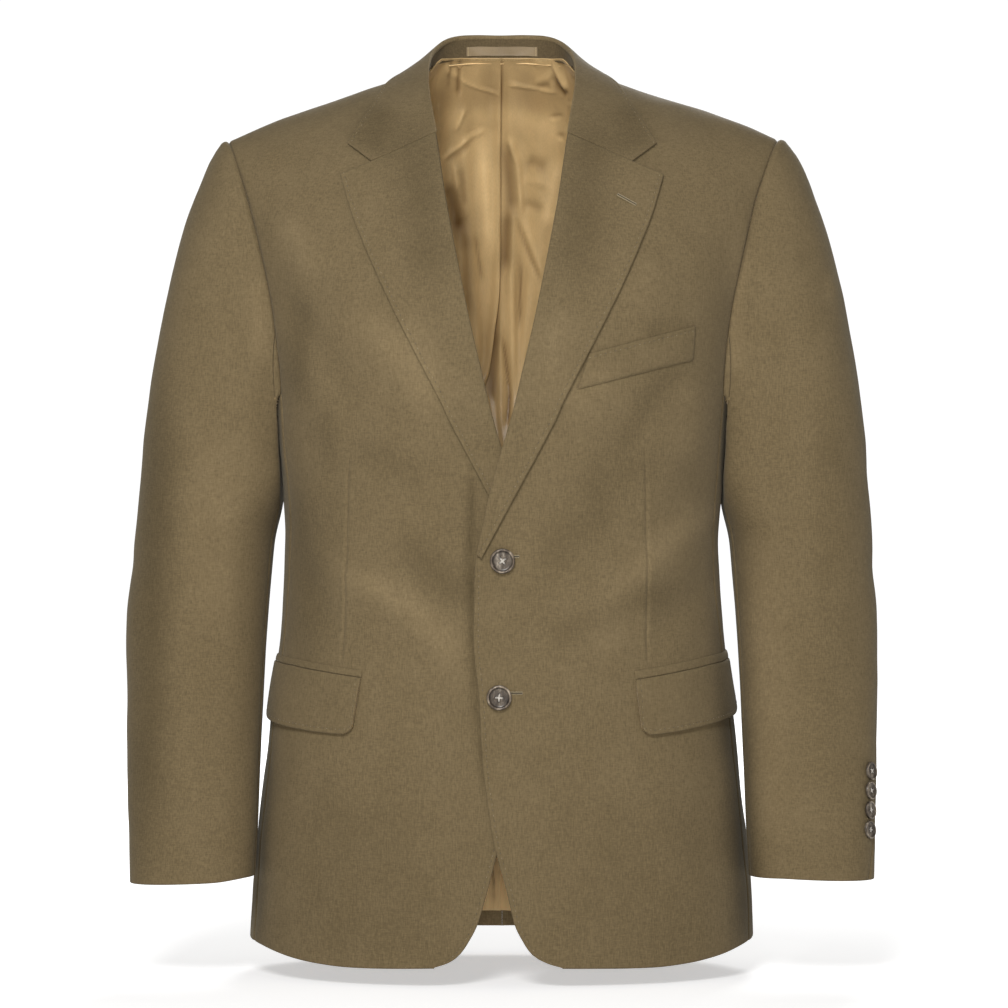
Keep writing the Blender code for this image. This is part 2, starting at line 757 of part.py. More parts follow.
def gorge_line(corner, tip, drop, steps, turn=0.72):
    """The line from the roll along the gorge seam to the notch and on to a point, on the front."""
    start = (GORGE[0], GORGE[1] + drop * 0.35)
    middle = (corner[0], corner[1] + drop)
    points = []
    for s in steps:
        if s <= turn:
            x, z = [mix(start[i], middle[i], s / turn) for i in (0, 1)]
        else:
            x, z = [mix(middle[i], tip[i], (s - turn) / (1 - turn)) for i in (0, 1)]
        points.append(on_front(x, z, mix(ROLL_OUT, LAPEL_OUT, min(s / 0.5, 1.0)), 1))
    return points


COLLAR_STEPS = [0.0, 0.12, 0.3, 0.5, 0.72, 0.86, 1.0]


def wall_back(outer, thickness):
    """Inner grid of a wall that is given by its outer points only."""
    rows, columns = len(outer), len(outer[0])
    inner = []
    for r in range(rows):
        line = []
        for c in range(columns):
            across = outer[r][min(c + 1, columns - 1)] - outer[r][max(c - 1, 0)]
            up = outer[min(r + 1, rows - 1)][c] - outer[max(r - 1, 0)][c]
            normal = across.cross(up).normalized()
            line.append(outer[r][c] - normal * thickness)
        inner.append(line)
    return inner


def make_collar_fall():
    half = [collar_row(row, COLLAR_STEPS) for row in COLLAR]
    half.append(gorge_line(NOTCH, COLLAR_POINT, NOTCH_GAP, COLLAR_STEPS))
    mirrored = [[Vector((-p.x, p.y, p.z)) for p in row] for row in half[:0:-1]]
    rows = mirrored + half
    # columns of the wall run along the collar, rows from the outer edge up to the fold
    outer = [[rows[v][s] for v in range(len(rows))] for s in range(len(COLLAR_STEPS))]
    outer = [list(reversed(line)) for line in outer]
    inner = wall_back(outer, CLOTH)
    return wall("collar_fall", outer, inner, 1, cloth())


# x, y, z of the stand's lower edge, below the same rows of the collar's fold
STAND_FOOT = [
    (0.0, 62.0, 28.6),
    (22.0, 60.0, 28.2),
    (40.0, 52.5, 26.0),
    (52.5, 41.0, 22.4),
    (60.0, 25.5, 18.4),
    (62.8, 8.0, 15.4),
    (61.8, -11.0, 11.4),
]
STAND_DROP = 2.9        # the stand starts this far under the fold


def stand_grid():
    """Rows of the stand from its foot up, on the side that faces the fall."""
    half = []
    for foot, row in zip(STAND_FOOT, COLLAR):
        low = Vector(foot)
        high = Vector((row[0], row[1], row[2] - STAND_DROP))
        inward = Vector((-high.x, -high.y, 0.0)).normalized() * 0.8
        half.append([low.lerp(high + inward, s) for s in (0.0, 0.5, 1.0)])
    mirrored = [[Vector((-p.x, p.y, p.z)) for p in line] for line in half[:0:-1]]
    return mirrored + half


def make_collar_stand():
    lines = stand_grid()
    outer = [[lines[v][s] for v in reversed(range(len(lines)))] for s in range(3)]
    inner = wall_back(outer, STAND)
    return wall("collar_stand", outer, inner, 1, cloth())


def make_neck_tape():
    """Bare satin tape on the inside of the stand, at the centre back."""
    lines = stand_grid()
    middle = len(lines) // 2
    rows = []
    for s in (0.10, 0.55):
        row = []
        for x in (31.0, 21.0, 10.0, 0.0, -10.0, -21.0, -31.0):
            f = abs(x) / 22.0
            v = middle + (1 if x >= 0 else -1) * (0 if f < 1 else 1)
            w = middle + (1 if x >= 0 else -1) * (1 if f < 1 else 2)
            part = f if f < 1 else (abs(x) - 22.0) / 18.0
            a = lines[v][0].lerp(lines[v][2], s)
            b = lines[w][0].lerp(lines[w][2], s)
            row.append(a.lerp(b, part))
        rows.append(row)
    face = wall_back(rows, STAND + TAPE_GAP)
    back = wall_back(rows, STAND + TAPE_GAP + TAPE)
    return wall("neck_tape", face, back, 1, tape())


LAPEL_ROWS = 15
LAPEL_STEPS = [0.0, 0.14, 0.32, 0.52, 0.72, 0.86, 1.0]


def make_lapel(side):
    end = LAPEL_END[side]
    top_line = []
    start = (GORGE[0], GORGE[1] - NOTCH_GAP * 0.35)
    corner = (NOTCH[0], NOTCH[1] - NOTCH_GAP)
    turn = 0.72
    for s in LAPEL_STEPS:
        if s <= turn:
            top_line.append([mix(start[i], corner[i], s / turn) for i in (0, 1)])
        else:
            top_line.append([mix(corner[i], LAPEL_POINT[i], (s - turn) / (1 - turn)) for i in (0, 1)])
    outer, inner = [], []
    for r in range(LAPEL_ROWS + 1):
        f = r / LAPEL_ROWS
        z_roll = mix(start[1], end, f)
        z_out = mix(LAPEL_POINT[1], end - 3.0, f)
        x_roll = edge_x(side, z_roll)
        x_out = read(LAPEL_EDGE, z_out)[0]
        row_out, row_in = [], []
        for i, s in enumerate(LAPEL_STEPS):
            x = mix(x_roll, x_out, s)
            z = mix(z_roll, z_out, s)
            near_top = (1 - ease(f * 5.0))
            straight = (mix(start[0], LAPEL_POINT[0], s), mix(start[1], LAPEL_POINT[1], s))
            x += (top_line[i][0] - straight[0]) * near_top
            z += (top_line[i][1] - straight[1]) * near_top
            out = mix(ROLL_OUT, LAPEL_OUT, min(s / 0.5, 1.0))
            base = mix(0.7, LAPEL_OUT - CLOTH, min(s / 0.3, 1.0))
            row_out.append(on_front(x, z, out, side))
            row_in.append(on_front(x, z, base, side))
        outer.append(row_out)
        inner.append(row_in)
    return wall("lapel_" + side_name(side), outer[::-1], inner[::-1], side, cloth())


# ---- pockets ------------------------------------------------------------------------------------
def along(line, f):
    """Point of an open line at f from 0 to 1."""
    span = f * (len(line) - 1)
    i = min(int(span), len(line) - 2)
    return [mix(line[i][k], line[i + 1][k], span - i) for k in (0, 1)]


def hip_point(turn, z, out):
    """Point over the front and the side panel: turn is 0 at the centre front, 90 at the side."""
    half, front, _, power, _ = read(BODY_RINGS, z)
    a = math.radians(turn)
    x = half * math.sin(a) ** (2 / power)
    y = -front * math.cos(a) ** (2 / power)
    lean = (read(BODY_RINGS, z + 3.0)[0] - read(BODY_RINGS, z - 3.0)[0]) / 6.0
    normal = Vector(((x / half) ** (power - 1) / half, -(-y / front) ** (power - 1) / front, 0.0))
    normal = normal.normalized()
    normal.z = -lean
    return Vector((x, y, z)) + normal.normalized() * out


def turn_of(share, z):
    power = read(BODY_RINGS, z)[3]
    return math.degrees(math.asin(share ** (power / 2)))


def hip_piece(name, side, low, high, grid, base, top, rounded):
    """A flap or a jet between a lower and an upper line of (share of the half-width, z)."""
    low = [(turn_of(share, z), z) for share, z in low]
    high = [(turn_of(share, z), z) for share, z in high]
    columns, rows = grid
    outer, inner = [], []
    for r in range(rows + 1):
        row_out, row_in = [], []
        for c in range(columns + 1):
            f = c / columns
            cut = max(FLAP_CORNER - f, f - 1 + FLAP_CORNER, 0.0) / FLAP_CORNER
            foot = FLAP_ROUND * (1 - math.sqrt(1 - cut * cut)) if rounded else 0.0
            g = mix(foot, 1.0, r / rows)
            a, b = along(low, f), along(high, f)
            turn, z = [mix(a[k], b[k], g) for k in (0, 1)]
            row_out.append(hip_point(turn, z, mix(top[0], top[1], g)))
            row_in.append(hip_point(turn, z, mix(base[0], base[1], g)))
        outer.append(row_out)
        inner.append(row_in)
    return wall(name + "_" + side_name(side), outer, inner, side, cloth())


def make_hip_pocket(side):
    top = FLAP_TOP[side]
    hip_piece("flap", side, FLAP_BOTTOM[side], top, (14, 5), (1.7, 0.7), (4.0, 2.7), True)
    jet_low = [(share, z + 0.9) for share, z in top]
    jet_high = [(share, z + JET_HEIGHT[side]) for share, z in top]
    hip_piece("jet", side, jet_low, jet_high, (10, 1), (0.7, 0.7), (2.0, 1.6), False)


def make_welt_pocket():
    outer, inner = [], []
    for r in range(3):
        row_out, row_in = [], []
        for c in range(7):
            a, b = along(WELT_LOW, c / 6), along(WELT_HIGH, c / 6)
            x, z = [mix(a[k], b[k], r / 2) for k in (0, 1)]
            row_out.append(on_front(x, z, 2.2, 1))
            row_in.append(on_front(x, z, 0.6, 1))
        outer.append(row_out)
        inner.append(row_in)
    return wall("welt_pocket", outer, inner, 1, cloth())


# ---- lining -------------------------------------------------------------------------------------
LINING_LEVELS = [(z - Z_HEM) / (Z_ARM - Z_HEM) for z in (-712, -675, -620, -560, -500, -440, -385,
                                                         -325, -262)]
LINING_LEVELS += [1.15, 1.32, 1.48, 1.62, 1.75, 1.86, 1.93, 1.98]
LINING_COLUMNS = 16
LINING_WIDTH = 0.86


def lining_depth(x, level):
    """How far the lining hangs inside the back: the pleat at the centre and soft upright folds."""
    free = ease(level * 3.0) * ease((1.97 - level) * 2.4)
    pleat = 5.0 * math.exp(-((x - PLEAT_X) / 4.0) ** 2)
    folds = sum(height * math.exp(-((x - at) / wide) ** 2) for at, wide, height in LINING_FOLDS)
    corner = 4.0 * math.exp(-((x - 56.0) / 16.0) ** 2) * ease((level - 1.55) / 0.3)
    return LINING_IN + corner + free * (pleat + folds)


def make_lining(side):
    outer, inner = [], []
    for level in LINING_LEVELS:
        row_out, row_in = [], []
        reach = panel_point(1.0, level, True).x
        wide = LINING_WIDTH if level < 1.3 else mix(LINING_WIDTH, 0.70, ease((level - 1.3) / 0.7))
        for c in range(LINING_COLUMNS + 1):
            f = c / LINING_COLUMNS
            w = mix(0.4 / reach, wide, f ** 1.25)
            point, normal = back_frame(w, level)
            depth = lining_depth(w * reach, level)
            row_out.append(point - normal * depth)
            row_in.append(point - normal * (depth + LINING))
        outer.append(list(reversed(row_out)))
        inner.append(list(reversed(row_in)))
    return wall("lining_" + side_name(side), outer, inner, side, satin())


# ---- buttons ------------------------------------------------------------------------------------
def make_button(name, centre, normal, radius, segments):
    """A turned button: domed edge, a rim and a shallow dish, its back flat."""
    profile = [
        (0.80, 0.00),
        (0.96, 0.09),
        (1.00, 0.22),
        (0.93, 0.36),
        (0.78, 0.38),
        (0.66, 0.25),
    ]
    axis = Vector(normal).normalized()
    right = axis.cross(Vector((0.0, 0.0, 1.0))).normalized()
    up = right.cross(axis)
    points = [Vector(centre)]
    for r, h in profile:
        for i in range(segments):
            a = 2 * math.pi * i / segments
            around = right * math.cos(a) + up * math.sin(a)
            points.append(Vector(centre) + around * r * radius + axis * h * radius)
    points.append(Vector(centre) + axis * 0.22 * radius)
    last = len(points) - 1
    faces = []
    for i in range(segments):
        j = (i + 1) % segments
        faces.append((0, 1 + i, 1 + j))
        for k in range(len(profile) - 1):
            a = 1 + k * segments
            b = a + segments
            faces.append((a + j, a + i, b + i, b + j))
        a = 1 + (len(profile) - 1) * segments
        faces.append((a + j, a + i, last))
    return solid(name, points, faces, horn())


def make_front_buttons():
    for i, (x, z) in enumerate(FRONT_BUTTONS):
        seat = on_front(abs(x), z, 0.0, 1)
        make_button("front_button_%d" % (i + 1), (x, seat.y - 0.6, z), (0.0, -1.0, 0.0), BUTTON_R, 20)


def make_cuff_buttons(side):
    for i, z in enumerate(CUFF_BUTTON_Z):
        level = 1.0 + (z - SLEEVE_TOP_Z) / (SLEEVE_RINGS[-1][0] - SLEEVE_TOP_Z)
        point, normal = sleeve_frame(CUFF_BUTTON_ANGLE[side], level)
        seat = point + normal * 0.5
        centre = (seat.x * side, seat.y, seat.z)
        out = (normal.x * side, normal.y, normal.z)
        name = "cuff_button_%s_%d" % (side_name(side), i + 1)
        make_button(name, centre, out, CUFF_BUTTON_R, 12)


# ---- the whole jacket ---------------------------------------------------------------------------
def main():
    for old in list(bpy.data.objects):
        bpy.data.objects.remove(old, do_unlink=True)
    for side in (1, -1):
        make_front(side)
        make_side(side)
        make_back(side)
        make_sleeve(side)
        make_lapel(side)
        make_hip_pocket(side)
        make_lining(side)
        make_cuff_buttons(side)
    make_welt_pocket()
    make_collar_fall()
    make_collar_stand()
    make_neck_tape()
    make_front_buttons()


main()
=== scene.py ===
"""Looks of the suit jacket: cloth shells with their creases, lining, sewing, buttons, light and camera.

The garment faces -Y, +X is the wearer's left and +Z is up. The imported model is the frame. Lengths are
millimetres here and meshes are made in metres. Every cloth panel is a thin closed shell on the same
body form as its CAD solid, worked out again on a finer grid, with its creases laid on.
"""
import math

import bpy
import numpy as np
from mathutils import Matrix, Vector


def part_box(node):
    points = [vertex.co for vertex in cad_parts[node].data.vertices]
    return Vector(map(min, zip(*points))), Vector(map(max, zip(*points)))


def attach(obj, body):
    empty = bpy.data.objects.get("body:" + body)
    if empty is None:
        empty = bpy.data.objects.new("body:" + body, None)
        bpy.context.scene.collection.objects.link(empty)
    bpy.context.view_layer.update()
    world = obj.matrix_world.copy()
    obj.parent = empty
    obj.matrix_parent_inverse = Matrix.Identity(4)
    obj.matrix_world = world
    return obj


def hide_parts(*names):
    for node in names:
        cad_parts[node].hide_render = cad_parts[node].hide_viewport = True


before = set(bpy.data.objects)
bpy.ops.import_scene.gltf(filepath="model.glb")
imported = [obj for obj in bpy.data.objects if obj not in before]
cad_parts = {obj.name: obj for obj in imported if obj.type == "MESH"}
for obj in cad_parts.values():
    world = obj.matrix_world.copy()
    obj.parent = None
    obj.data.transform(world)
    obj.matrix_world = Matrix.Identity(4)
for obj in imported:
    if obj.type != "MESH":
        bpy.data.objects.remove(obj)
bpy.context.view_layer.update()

M = 0.001

# ---- sizes of the form, as in the CAD model -----------------------------------------------------
CLOTH = 2.0             # wall of a cloth panel
LINING = 1.2            # wall of the lining
STAND = 1.6             # wall of the collar stand
TAPE = 0.7              # the neck tape
TAPE_GAP = 0.35         # and its distance from the stand
SEAM = 0.06             # gap between neighbouring shells, which are sewn here
SLEEVE_SEAM = 0.08      # gap along a sleeve's two seams
ARM_GAP = 0.12          # gap round the armhole
Z_HEM = -726.0          # hem at the centre front
Z_ARM = -262.0          # where the armhole starts on the front and back edges
HEM_RISE = 13.0         # the side of the hem is this much higher than the centre front
BACK_HEM_RISE = 5.5     # the hem at the centre back
ARM_DIP = 13.0          # the underarm lies this much lower than the armhole's two ends
SHOULDER_X = 231.0      # shoulder point
NECK_X = 68.0           # neck point
NECK_BACK = (64.0, 27.0)    # y, z of the neck seam at the centre back
SLEEVE_TOP_Z = -300.0   # the first level ring of a sleeve
UNDERARM = 0.19         # share of half the armhole that the side panel takes
LAPEL_OUT = 3.4         # how far a lapel's or the collar's outer face stands off the front
ROLL_OUT = 5.2          # and how far at the roll line
VENT_TOP = -520.0       # the side vents open below this
VENT_LAP = 24.0         # the side panel runs this far under the back there
VENT_DROP = 3.4         # and lies this much deeper
LEAN = 2.3              # the upper sleeves are set this far to the wearer's left
LEFT_UP = 2.6           # the left shoulder point is this much higher
CUFF_EVEN = (1.3, 1.9)  # the left cuff is this much higher, the right cuff this much lower

# z, half-width, front depth, back depth, front power, back power
BODY_RINGS = [
    (-730, 211, 141, 140, 2.20, 2.30),
    (-668, 208.5, 141, 137, 2.20, 2.30),
    (-600, 202, 141, 132, 2.22, 2.32),
    (-555, 196.8, 141, 128, 2.25, 2.35),
    (-517, 192.5, 141, 125, 2.25, 2.35),
    (-475, 187.6, 141, 121, 2.25, 2.35),
    (-433, 183.8, 140.5, 118, 2.25, 2.35),
    (-400, 182, 140, 117.5, 2.25, 2.35),
    (-370, 182, 139, 119.5, 2.25, 2.35),
    (-335, 184.4, 138.5, 125, 2.28, 2.35),
    (-300, 188, 139, 132, 2.30, 2.35),
    (-262, 191.5, 140, 139, 2.30, 2.35),
]
# z, y of the seam between front and side panel, y of the seam between side panel and back
SIDE_SEAMS = [
    (-730, 37, 66),
    (-520, 40, 64),
    (-400, 44, 62),
    (-262, 50, 62),
]
# share of the front's width, how much higher than Z_HEM the front's hem is
HEM_FRONT = [
    (0.00, 0.0),
    (0.30, -1.1),
    (0.60, -2.0),
    (0.75, 0.0),
    (0.85, 3.2),
    (0.92, 6.6),
    (1.00, 11.2),
]
# x, z of the shoulder seam from the centre to the shoulder point
SHOULDER_LINE = [
    (0, 29),
    (40, 21),
    (68, 13.2),
    (86, 6.6),
    (120, -4.8),
    (160, -18.6),
    (200, -34.2),
    (231, -48),
]
# z, x of the roll line and, below the top button, of the front edge: wearer's left, wearer's right
FRONT_EDGES = [
    (-726.3, 49, 55),
    (-722.7, 37, 44),
    (-716, 25, 34.5),
    (-702, 15.3, 25),
    (-692, 10.5, 20),
    (-681, 7.6, 16.5),
    (-662, 3.2, 11),
    (-647, -1, 7.2),
    (-623, -7, 1),
    (-590, -12, -5),
    (-561, -15.6, -9),
    (-508, -18.6, -15),
    (-468, -22.6, -18),
    (-429, -22.5, -18),
    (-400, -21.6, -17.5),
    (-371, -15.8, -14.5),
    (-342, -9.5, -9.5),
    (-312, -1.4, -1.4),
    (-277, 8.8, 8.8),
    (-242, 17, 17),
    (-205, 25.6, 25.6),
    (-155, 35.8, 35.8),
    (-100, 46, 46),
    (-50, 53.5, 53.5),
    (-30, 57.5, 57.5),
    (-6, 61.5, 61.5),
    (7, 64.5, 64.5),
    (13.2, 68, 68),
]
# z, how far the wearer's right front lies under the left one, as a depth
UNDER_DEPTH = [
    (-730, 4.6),
    (-430, 4.6),
    (-395, 9),
    (-310, 9),
    (-235, 0),
    (-100, 0),
]
# z, centre x, centre y, half-width, half-depth of a sleeve
SLEEVE_RINGS = [
    (-300.0, 244.6, 2.0, 59.6, 62.0),
    (-340.0, 246.8, 3.0, 59.8, 60.0),
    (-402.0, 252.2, 2.0, 59.4, 57.0),
    (-454.0, 255.6, -4.0, 58.9, 53.5),
    (-505.0, 256.6, -14.0, 57.4, 50.0),
    (-570.0, 256.4, -31.0, 55.4, 46.0),
    (-620.0, 255.8, -45.0, 53.6, 43.0),
    (-662.5, 255.4, -57.5, 51.8, 40.5),
]
# guide points of a panel's curve from the arm's level up to the shoulder seam. The lower one: x at the
# side, how far out from the curve's start and z, each at the centre and at the side. The upper one:
# x at the side, y at the centre and at the side.
FRONT_GUIDES = ((184.0, 7.0, 10.0, -160.0, -182.0), (222.0, -97.0, -60.0))
BACK_GUIDES = ((188.0, 14.0, 13.0, -168.0, -184.0), (223.0, 112.0, 60.0))
NECK_REACH = 1.35       # the neck shapes the back this far out, as a share of NECK_X
NECK_EASE = 22.0        # the shoulder line's height is rounded over this width next to the neck
NECK_SINK = (5.0, 14.7)     # how far the neck draws the upper guide point forward and down
CUFF_TILT = 4.0         # the cuff is this much higher next to the body
SLEEVE_CLEAR = 2.5      # least distance of a sleeve's inner side from the body
HUG = 8.0               # under the arm a sleeve reaches this much further in
HUG_POWER = 1.3         # and its inner side is this much squarer
HUG_END = -386.0        # below this z it hangs clear
HUG_FADE = 62.0
LEAVING = (21.0, 7.0)   # a sleeve runs on this far from its seam before it turns down, outside and inside
HEAD_BOW = 13.0         # and its outside bows in by this much above the first ring
# level along a sleeve (0 armhole, 1 first ring, 2 cuff), angle of the front seam, elbow seams
SLEEVE_SEAMS = [
    (0.00, 62.0, 256.0, 256.0),
    (0.55, 34.0, 247.0, 249.0),
    (1.00, 20.0, 240.0, 243.0),
    (1.45, 12.0, 211.0, 230.0),
    (2.00, 8.0, 153.0, 211.0),
]
# fold of the collar: x, y, z; its outer edge: x, z, and y, or the panel that it lies on; roundness
COLLAR = [
    (0.0, 70.0, 49.6, 0.0, 4.0, "back", 0.62),
    (22.0, 69.0, 49.6, 30.0, 3.9, "back", 0.62),
    (38.0, 62.5, 48.0, 54.0, 3.6, "back", 0.54),
    (50.0, 48.0, 42.8, 70.5, 3.2, "back", 0.42),
    (57.6, 30.0, 34.6, 80.5, 7.9, 35.0, 0.36),
    (60.8, 10.0, 26.2, 86.0, 9.9, 12.0, 0.34),
    (61.8, -10.0, 17.4, 91.2, 5.9, -8.0, 0.36),
    (61.8, -29.0, 8.0, 97.2, -4.4, "front", 0.42),
    (61.4, -46.0, -2.5, 102.5, -14.0, "front", 0.5),
    (60.0, -61.0, -14.0, 108.5, -25.0, "front", 0.5),
    (57.6, -75.0, -28.0, 116.5, -38.5, "front", 0.5),
]
# x, y, z of the stand's lower edge, below the same rows of the collar's fold
STAND_FOOT = [
    (0.0, 62.0, 28.6),
    (22.0, 60.0, 28.2),
    (40.0, 52.5, 26.0),
    (52.5, 41.0, 22.4),
    (60.0, 25.5, 18.4),
    (62.8, 8.0, 15.4),
    (61.8, -11.0, 11.4),
]
STAND_DROP = 2.9        # the stand starts this far under the fold
TAPE_SHARES = (0.10, 0.55)      # the tape covers this share of its height
TAPE_SIZE = (62.0, 9.6)
LINE_PLACES = np.linspace(0.0, 1.0, 401)    # places along the stand where a line on it is worked out
GORGE = (53.5, -50.0)           # x, z where the gorge seam meets the roll line
NOTCH = (106.0, -72.5)          # inner corner of the notch
COLLAR_POINT = (126.6, -56.4)
LAPEL_POINT = (131.8, -83.2)
NOTCH_GAP = 0.12                # half the width of the gorge seam at the notch
NOTCH_TURN = 0.72               # share of a row across the collar or lapel at that corner
# z, x of a lapel's outer edge
LAPEL_EDGE = [
    (-83.2, 131.8),
    (-118, 121),
    (-145, 110),
    (-187, 91),
    (-225, 72),
    (-268, 50),
    (-284, 43),
    (-316, 26.5),
    (-342, 12.5),
    (-369, -2),
    (-399, -18),
]
LAPEL_END = {1: -393.0, -1: -366.0}     # lowest point of the roll line, left and right lapel
# share of the body's half-width, and z, along the top and the bottom of the flap on each side
FLAP_TOP = {
    1: [(0.568, -494.5), (0.772, -488.6), (0.900, -484.4), (0.997, -480.8)],
    -1: [(0.598, -493.0), (0.770, -488.8), (0.902, -485.2), (0.997, -482.6)],
}
FLAP_BOTTOM = {
    1: [(0.580, -540.4), (0.735, -537.2), (0.876, -532.6), (0.9985, -525.4)],
    -1: [(0.622, -539.6), (0.760, -538.4), (0.904, -535.0), (0.9985, -529.2)],
}
FLAP_CORNER = 0.10      # share of the flap's length that each rounded corner takes
FLAP_ROUND = 0.17       # and of its height
JET_HEIGHT = {1: 7.3, -1: 6.1}
FLAP_SIZE = (112.0, 46.0)   # about the size of a flap and of a jet, for their grids
JET_SIZE = (112.0, 6.4)
WELT_SIZE = (95.0, 28.0)
WELT_OUT = (0.6, 2.2)   # the welt's inner and outer face stand this far off the front
WELT_LOW = [(60.6, -259.8), (156.0, -235.0)]
WELT_HIGH = [(70.4, -230.6), (158.0, -206.4)]
BUTTON_R = 10.2
CUFF_BUTTON_R = 7.6
CUFF_BUTTON_Z = [-573.0, -589.2, -605.4, -621.6]
CUFF_BUTTON_ANGLE = {1: 149.0, -1: 207.0}
LINING_IN = 3.6
PLEAT_UNDER = 9.0       # the pleat's under layer runs this far under its edge
LINING_DEEP = 1.35      # depth of the lining's own creases
LINING_CLEAR = 2.5      # least distance of the lining from the outside of the cloth
SATIN_TURN = 0.05       # painted light and shade: how much lighter a fold is painted for each millimetre that it stands out
LINING_FOLDS = [(34.0, 9.0, 5.0), (62.0, 12.0, 4.0), (96.0, 16.0, 5.5), (132.0, 14.0, 4.0)]
LINING_LOW = -712.0     # the lining's lower edge
LINING_TOP = 1.98       # and its upper edge, as a level of the back
LINING_WIDTH = 0.86     # how far it reaches to the sides, as a share of the back
LINING_TOP_WIDTH = 0.70     # and next to the shoulder seam
LINING_PITCH = (2.0, 3.0)   # size of its grid across and up

# ---- creases ------------------------------------------------------------------------------------
# Each row is a soft ridge (height > 0) or trough along a line, seen from the front:
# x, z of one end, x, z of the other, half-width, height, sideways bow in the middle
FRONT_CREASES = [
    # wearer's left front: drag lines between armhole, waist button and hip
    (151, -240, 79, -333, 15, -2.2, 4),
    (160, -290, 87, -381, 14, 1.5, -4),
    (111, -349, 14, -461, 15, -1.7, 6),
    (163, -365, 59, -470, 15, 2.4, 6),
    (171, -413, 111, -478, 13, -2, 0),
    (122, -150, 96, -190, 14, 1.6, 0),
    (136, -203, 124, -213, 9, -1.3, 0),
    (80, -268, 44, -312, 12, 1.2, 0),
    # wearer's right front
    (-183, -180, -118, -284, 12, -2.6, -5),
    (-138, -164, -58, -300, 17, 2.2, -6),
    (-163, -300, -66, -326, 13, -1.4, 5),
    (-138, -405, -30, -482, 12, 2.6, -5),
    (-98, -373, -26, -446, 12, -1.9, -3),
    (-167, -397, -134, -462, 12, -1.7, 0),
    (-178, -115, -152, -158, 13, 1.6, 0),
    # lapels: hollow above, full where they roll
    (-57, -123, -39, -196, 12, -1.5, 0),
    (56, -120, 37, -200, 12, -1.4, 0),
    (-42, -215, -22, -290, 11, 1.3, 0),
    (46, -205, 22, -290, 11, 1, 0),
    # skirt
    (-66, -560, -78, -690, 22, -1.3, 4),
    (-128, -560, -140, -700, 20, 1.2, -4),
    (62, -545, 74, -690, 24, -1.2, -5),
    (136, -560, 146, -700, 20, 1.3, 5),
    # short puckers of the wearer's right sleeve next to the armhole
    (-230, -129, -208, -134, 2.6, -0.9, 0),
    (-222, -147, -202, -153, 3, -1.2, 1),
    (-218, -164, -200, -170, 2.6, -1, 0),
    (-212, -176, -196, -183, 2.4, -0.7, 0),
    (-238, -110, -222, -114, 3.4, 0.9, 0),
    # long soft bands of the sleeves
    (-206, -215, -203, -500, 8, 1.5, 3),
    (-232, -230, -238, -610, 13, -1.4, -5),
    (-262, -300, -266, -560, 13, 1.3, 5),
    (206, -110, 204, -215, 8, 1.5, 3),
    (228, -145, 258, -140, 10, -1.2, 0),
    (238, -230, 246, -600, 14, -1.4, 5),
    (268, -162, 276, -178, 4, 1.2, 0),
    (270, -260, 268, -560, 12, 1.3, -5),
    (222, -400, 276, -424, 13, -0.9, 3),
    (-222, -408, -276, -440, 13, -0.9, -3),
    (214, -520, 292, -560, 14, 1.1, 0),
    (-214, -528, -292, -560, 14, 1.1, 0),
]
# the same, seen from behind, with x as in the garment
REAR_CREASES = [
    (-150, -225, -60, -330, 17, -2.2, -5),
    (146, -232, 66, -322, 16, -2, 5),
    (-160, -150, -132, -262, 15, 1.8, 4),
    (158, -146, 136, -252, 16, 1.7, -4),
    (-120, -392, 96, -384, 13, -1.6, 6),
    (-150, -432, -40, -446, 12, 1.3, -4),
    (140, -436, 34, -452, 13, 1.2, 4),
    (-46, -500, -58, -690, 22, -1.6, 5),
    (52, -510, 58, -700, 22, -1.4, -5),
    (-108, -520, -122, -700, 20, 1.4, -4),
    (112, -530, 124, -690, 20, 1.5, 4),
    (-52, -22, 48, -24, 10, -1.2, -5),
    (-215, -400, -272, -380, 9, -1.7, 3),
    (-212, -428, -266, -420, 7, -1.2, -2),
    (214, -396, 270, -382, 9, -1.6, -3),
    (216, -430, 268, -416, 7, -1.3, 2),
    (-240, -150, -246, -350, 13, 1.5, 4),
    (238, -150, 248, -340, 13, 1.5, -4),
    (-232, -470, -240, -620, 12, -1.2, -3),
    (236, -470, 242, -620, 12, -1.1, 3),
]
# the same, seen from a side: y, z of both ends; +1 for the wearer's left, -1 for the right
SIDE_CREASES = {
    1: [
        (-30, -410, 34, -392, 12, -0.7, 3),
        (-34, -444, 22, -432, 14, 0.5, -2),
        (-12, -200, 2, -350, 12, -1.2, 4),
        (24, -470, -6, -600, 12, -1.2, 0),
    ],
    -1: [
        (-34, -404, 30, -398, 12, -0.7, 2),
        (-38, -436, 24, -440, 14, 0.5, 2),
        (-6, -190, 8, -340, 12, -1.3, -4),
        (18, -480, -12, -600, 12, -1.1, 0),
    ],
}
